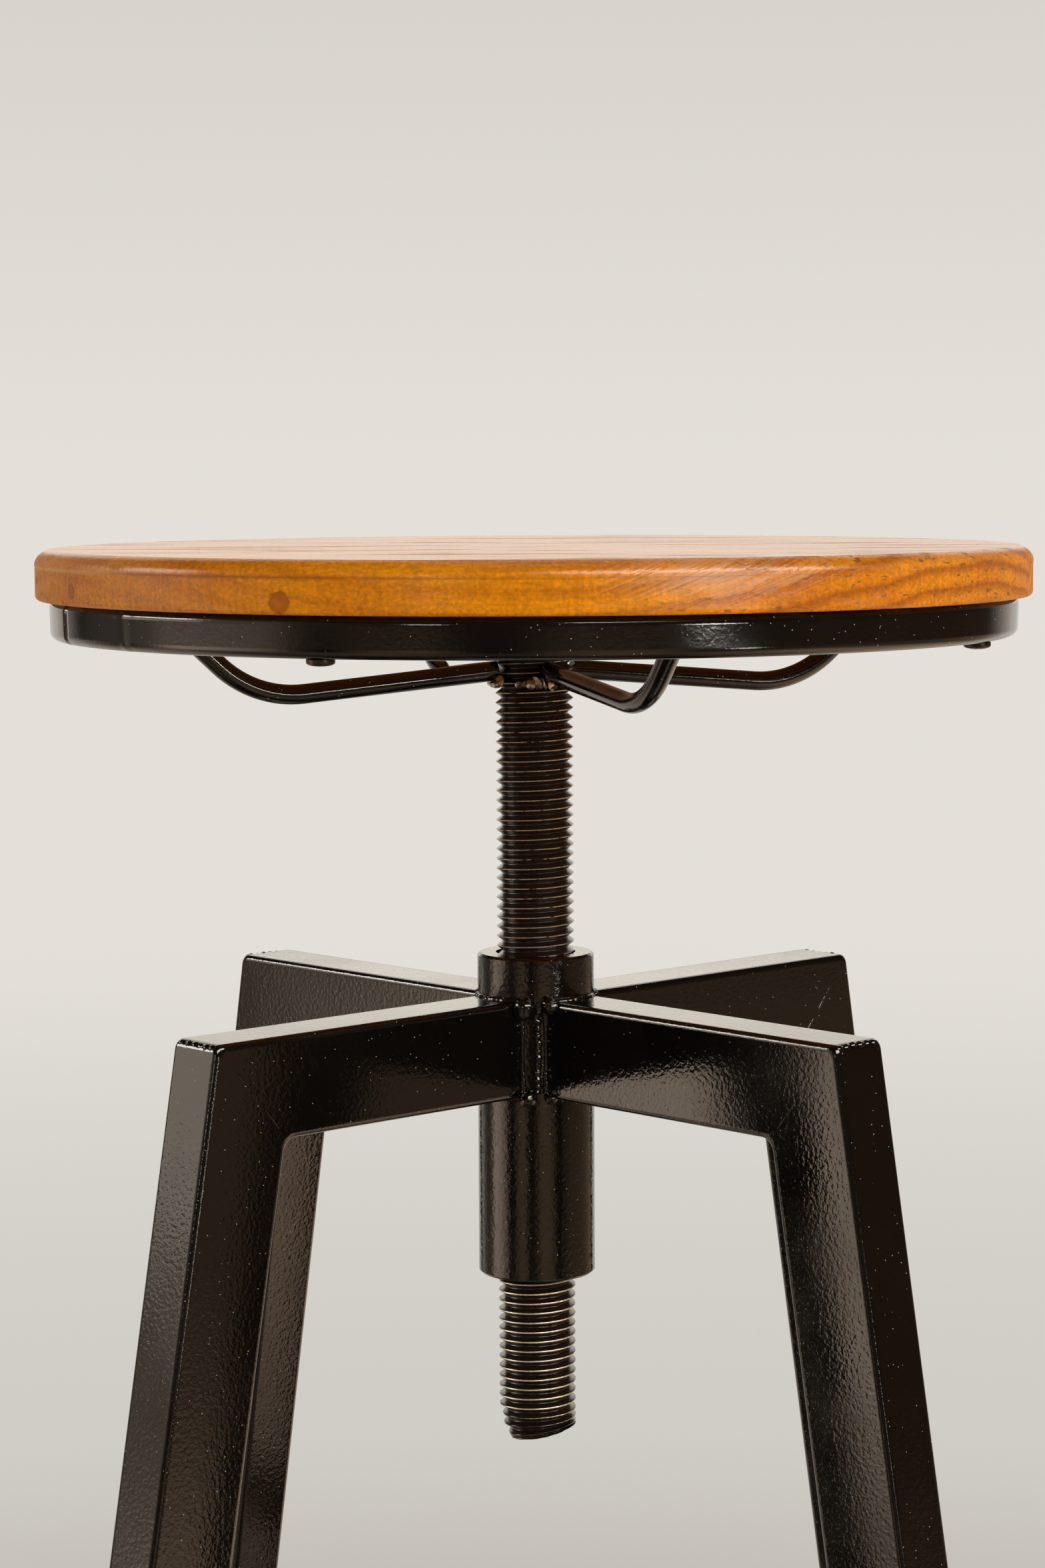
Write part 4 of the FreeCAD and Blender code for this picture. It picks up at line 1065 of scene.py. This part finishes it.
def make_surround():
    """What the gloss coat mirrors in front and at the sides: floor, wall and ceiling in soft bands.

    The bands are given by azimuth from the camera's side, in degrees towards its right.
    """
    first, last, steps = -152, 155, 96
    outline = [(0.12, 2 * MM), (0.9, 2 * MM), (3.4, 2 * MM), (3.4, 2.6), (0.4, 2.6)]
    low_bands = [
        (-152, "#a39b92"), (-135, "#988f87"), (-122, "#6b6259"), (-108, "#463c34"), (-97, "#776a5e"),
        (-89, "#f4dcc4"), (-78, "#ecd4bc"), (-64, "#bba58e"), (-54, "#594b40"), (-46, "#1a120d"),
        (-37, "#6b5645"), (-23, "#89725c"), (-12, "#2d211a"), (-4, "#1d140e"), (13, "#806a55"),
        (29, "#7b6651"), (46, "#140d0a"), (56, "#43352a"), (75, "#5c4b3a"), (108, "#5f4e3c"),
        (132, "#75624d"), (145, "#a39b92"), (155, "#b3aca2")]
    high_bands = [
        (-152, "#a39b92"), (-140, "#8a8178"), (-128, "#2f2a25"), (-106, "#5c534b"), (-90, "#857869"),
        (-62, "#8d7f70"), (-50, "#4f4339"), (-10, "#2b231d"), (12, "#3f362e"), (35, "#2a221c"),
        (90, "#3a2a1b"), (132, "#2c2119"), (145, "#8a8178"), (155, "#a39b92")]
    near_bands = [
        (-152, "#a08f7e"), (-96, "#a08f7e"), (-90, "#5c5349"), (-60, "#5f564c"), (-35, "#7d6c5b"),
        (-12, "#54453a"), (0, "#54453a"), (20, "#8a7662"), (40, "#6b5b4c"), (75, "#c0a38b"),
        (155, "#c0a38b")]
    brightest = 2.5

    material, tree, place = new_material("reflected_studio")
    spot = add(tree, "ShaderNodeSeparateXYZ", {0: place})
    ahead = add(tree, "ShaderNodeMath", {0: spot.outputs["Y"], 1: -1.0}, operation="MULTIPLY")
    azimuth = add(tree, "ShaderNodeMath", {0: spot.outputs["X"], 1: ahead}, operation="ARCTAN2")
    share = add(tree, "ShaderNodeMapRange", {
        "Value": azimuth, "From Min": math.radians(first), "From Max": math.radians(last)})
    shades = []
    for stops in (near_bands, low_bands, high_bands):
        bands = add(tree, "ShaderNodeValToRGB", {"Fac": share})
        bands.color_ramp.elements[0].color = linear(stops[0][1])
        bands.color_ramp.elements[1].color = linear(stops[-1][1])
        for degrees, code in stops[1:-1]:
            bands.color_ramp.elements.new((degrees - first) / (last - first)).color = linear(code)
        shades.append(bands)
    rise = add(tree, "ShaderNodeMapRange", {"Value": spot.outputs["Z"], "From Min": 0.1, "From Max": 0.42})
    reach = add(tree, "ShaderNodeVectorMath", {0: place}, operation="LENGTH")
    away = add(tree, "ShaderNodeMapRange", {"Value": reach, "From Min": 0.9, "From Max": 1.8})
    # The floor under the stool is in its own shade
    under = add(tree, "ShaderNodeMapRange", {
        "Value": reach, "From Min": 0.32, "From Max": 0.7, "To Min": 0.18})
    near = add(tree, "ShaderNodeMix", {
        0: 1.0, 6: shades[0], 7: under}, data_type="RGBA", blend_type="MULTIPLY")
    ground = add(tree, "ShaderNodeMix", {0: away, 6: near, 7: shades[1]}, data_type="RGBA")
    wall = add(tree, "ShaderNodeMix", {0: rise, 6: ground, 7: shades[2]}, data_type="RGBA")
    overhead = add(tree, "ShaderNodeMapRange", {
        "Value": spot.outputs["Z"], "From Min": 1.2, "From Max": 2.4})
    shade = add(tree, "ShaderNodeMix", {0: overhead, 6: wall, 7: linear("#221b15")}, data_type="RGBA")
    close_material(tree, add(tree, "ShaderNodeEmission", {"Color": shade, "Strength": brightest}))

    work = bmesh.new()
    rows = []
    for k in range(steps + 1):
        degrees = first + (last - first) * k / steps
        rows.append([work.verts.new(from_camera(degrees, distance, z)) for distance, z in outline])
    for here, there in zip(rows, rows[1:]):
        for j in range(len(outline) - 1):
            work.faces.new((here[j], there[j], there[j + 1], here[j + 1]))
    piece = new_piece("reflected_studio", mesh_from("reflected_studio", work), material)
    piece.visible_camera = False
    piece.visible_diffuse = False
    piece.visible_shadow = False


def softbox(name, azimuth, distance, low, high, width, radiance, colour, aim=None, spread=180,
            lights=True, mirrored=True):
    """Area lamp that faces the spindle, level or at a height to aim at, with its spread in degrees.

    It can be left out of the light on surfaces, or out of their reflections.
    """
    middle = from_camera(azimuth, distance, (low + high) / 2)
    data = bpy.data.lights.new(name, "AREA")
    data.shape = "RECTANGLE"
    data.size = width
    data.size_y = high - low
    data.energy = radiance * width * (high - low) * math.pi
    data.spread = math.radians(spread)
    if spread < 180:
        half = data.spread / 2
        data.energy *= (math.tan(half) - half) / math.tan(half)
    data.color = linear(colour)[:3]
    lamp = in_scene(name, data)
    target = Vector((0, 0, middle.z if aim is None else aim))
    lamp.location = middle
    lamp.rotation_mode = "QUATERNION"
    lamp.rotation_quaternion = (target - middle).to_track_quat("-Z", "Y")
    lamp.visible_camera = False
    lamp.visible_diffuse = lights
    lamp.visible_glossy = mirrored


def make_lights():
    """A wide key at the front right, smaller lamps for the sheen, a window at the left and a back light."""
    cream, pale = "#fff3e2", "#fff8f0"
    softbox("key_box", 45, 2.2, 0.7, 1.2, 2.0, 9.2, cream, mirrored=False)
    softbox("key_core", 43, 2.15, 0.54, 0.7, 1.4, 26.0, pale, aim=0.72, spread=16)
    softbox("high_window", 43, 2.0, 1.7, 2.6, 2.8, 12.0, pale, aim=0.65, lights=False)
    softbox("left_strip", -94, 2.2, 1.15, 1.7, 0.9, 9.0, pale, aim=0.56, lights=False)
    softbox("low_strip", 49.5, 2.2, 0.15, 0.36, 0.22, 9.0, cream)
    softbox("edge_strip", -22, 2.6, 0.85, 1.3, 0.35, 4.0, "#fff6ec")
    softbox("left_window", -92, 2.6, 0.6, 2.0, 1.3, 1.35, "#fff0de")
    softbox("back_light", 180, 3.0, 0.75, 3.2, 3.2, 0.8, cream, aim=0.65)


def make_camera():
    """Camera at the photograph's place, with its focal length in pixels of the 1568 by 2352 frame."""
    frame_height = 2352
    focal_pixels = 5402
    yaw, pitch, roll = math.radians(-1.909), math.radians(5.206), math.radians(-0.3)
    data = bpy.data.cameras.new("camera")
    data.lens = focal_pixels / frame_height * data.sensor_width
    camera = in_scene("camera", data)
    ahead = Vector((
        math.sin(yaw) * math.cos(pitch), math.cos(yaw) * math.cos(pitch), -math.sin(pitch)))
    camera.location = (33.0 * MM, -1102.8 * MM, 727.4 * MM)
    camera.rotation_mode = "QUATERNION"
    camera.rotation_quaternion = ahead.to_track_quat("-Z", "Y") @ Quaternion((0, 0, 1), roll)
    bpy.context.scene.camera = camera


coat = powder_coat("gloss_black_powder_coat", 0.55)
rod_coat = powder_coat("gloss_black_rod_coat", 0.2)
hub_coat = powder_coat("gloss_black_hub_coat", 0.9)
plastic = moulded_plastic()
noise.seed_set(WELD_SEED)

make_staves()
make_ring(rod_coat)
make_spindle(thread_steel())
make_welds(rod_coat, scorched_weld())
make_legs(coat)
make_screws(blackened_screw())
make_feet(plastic)
make_cap(plastic)
paint_frame(coat, rod_coat, hub_coat)

make_world()
make_floor()
make_surround()
make_lights()
make_camera()
bpy.context.scene.view_settings.view_transform = "Standard"
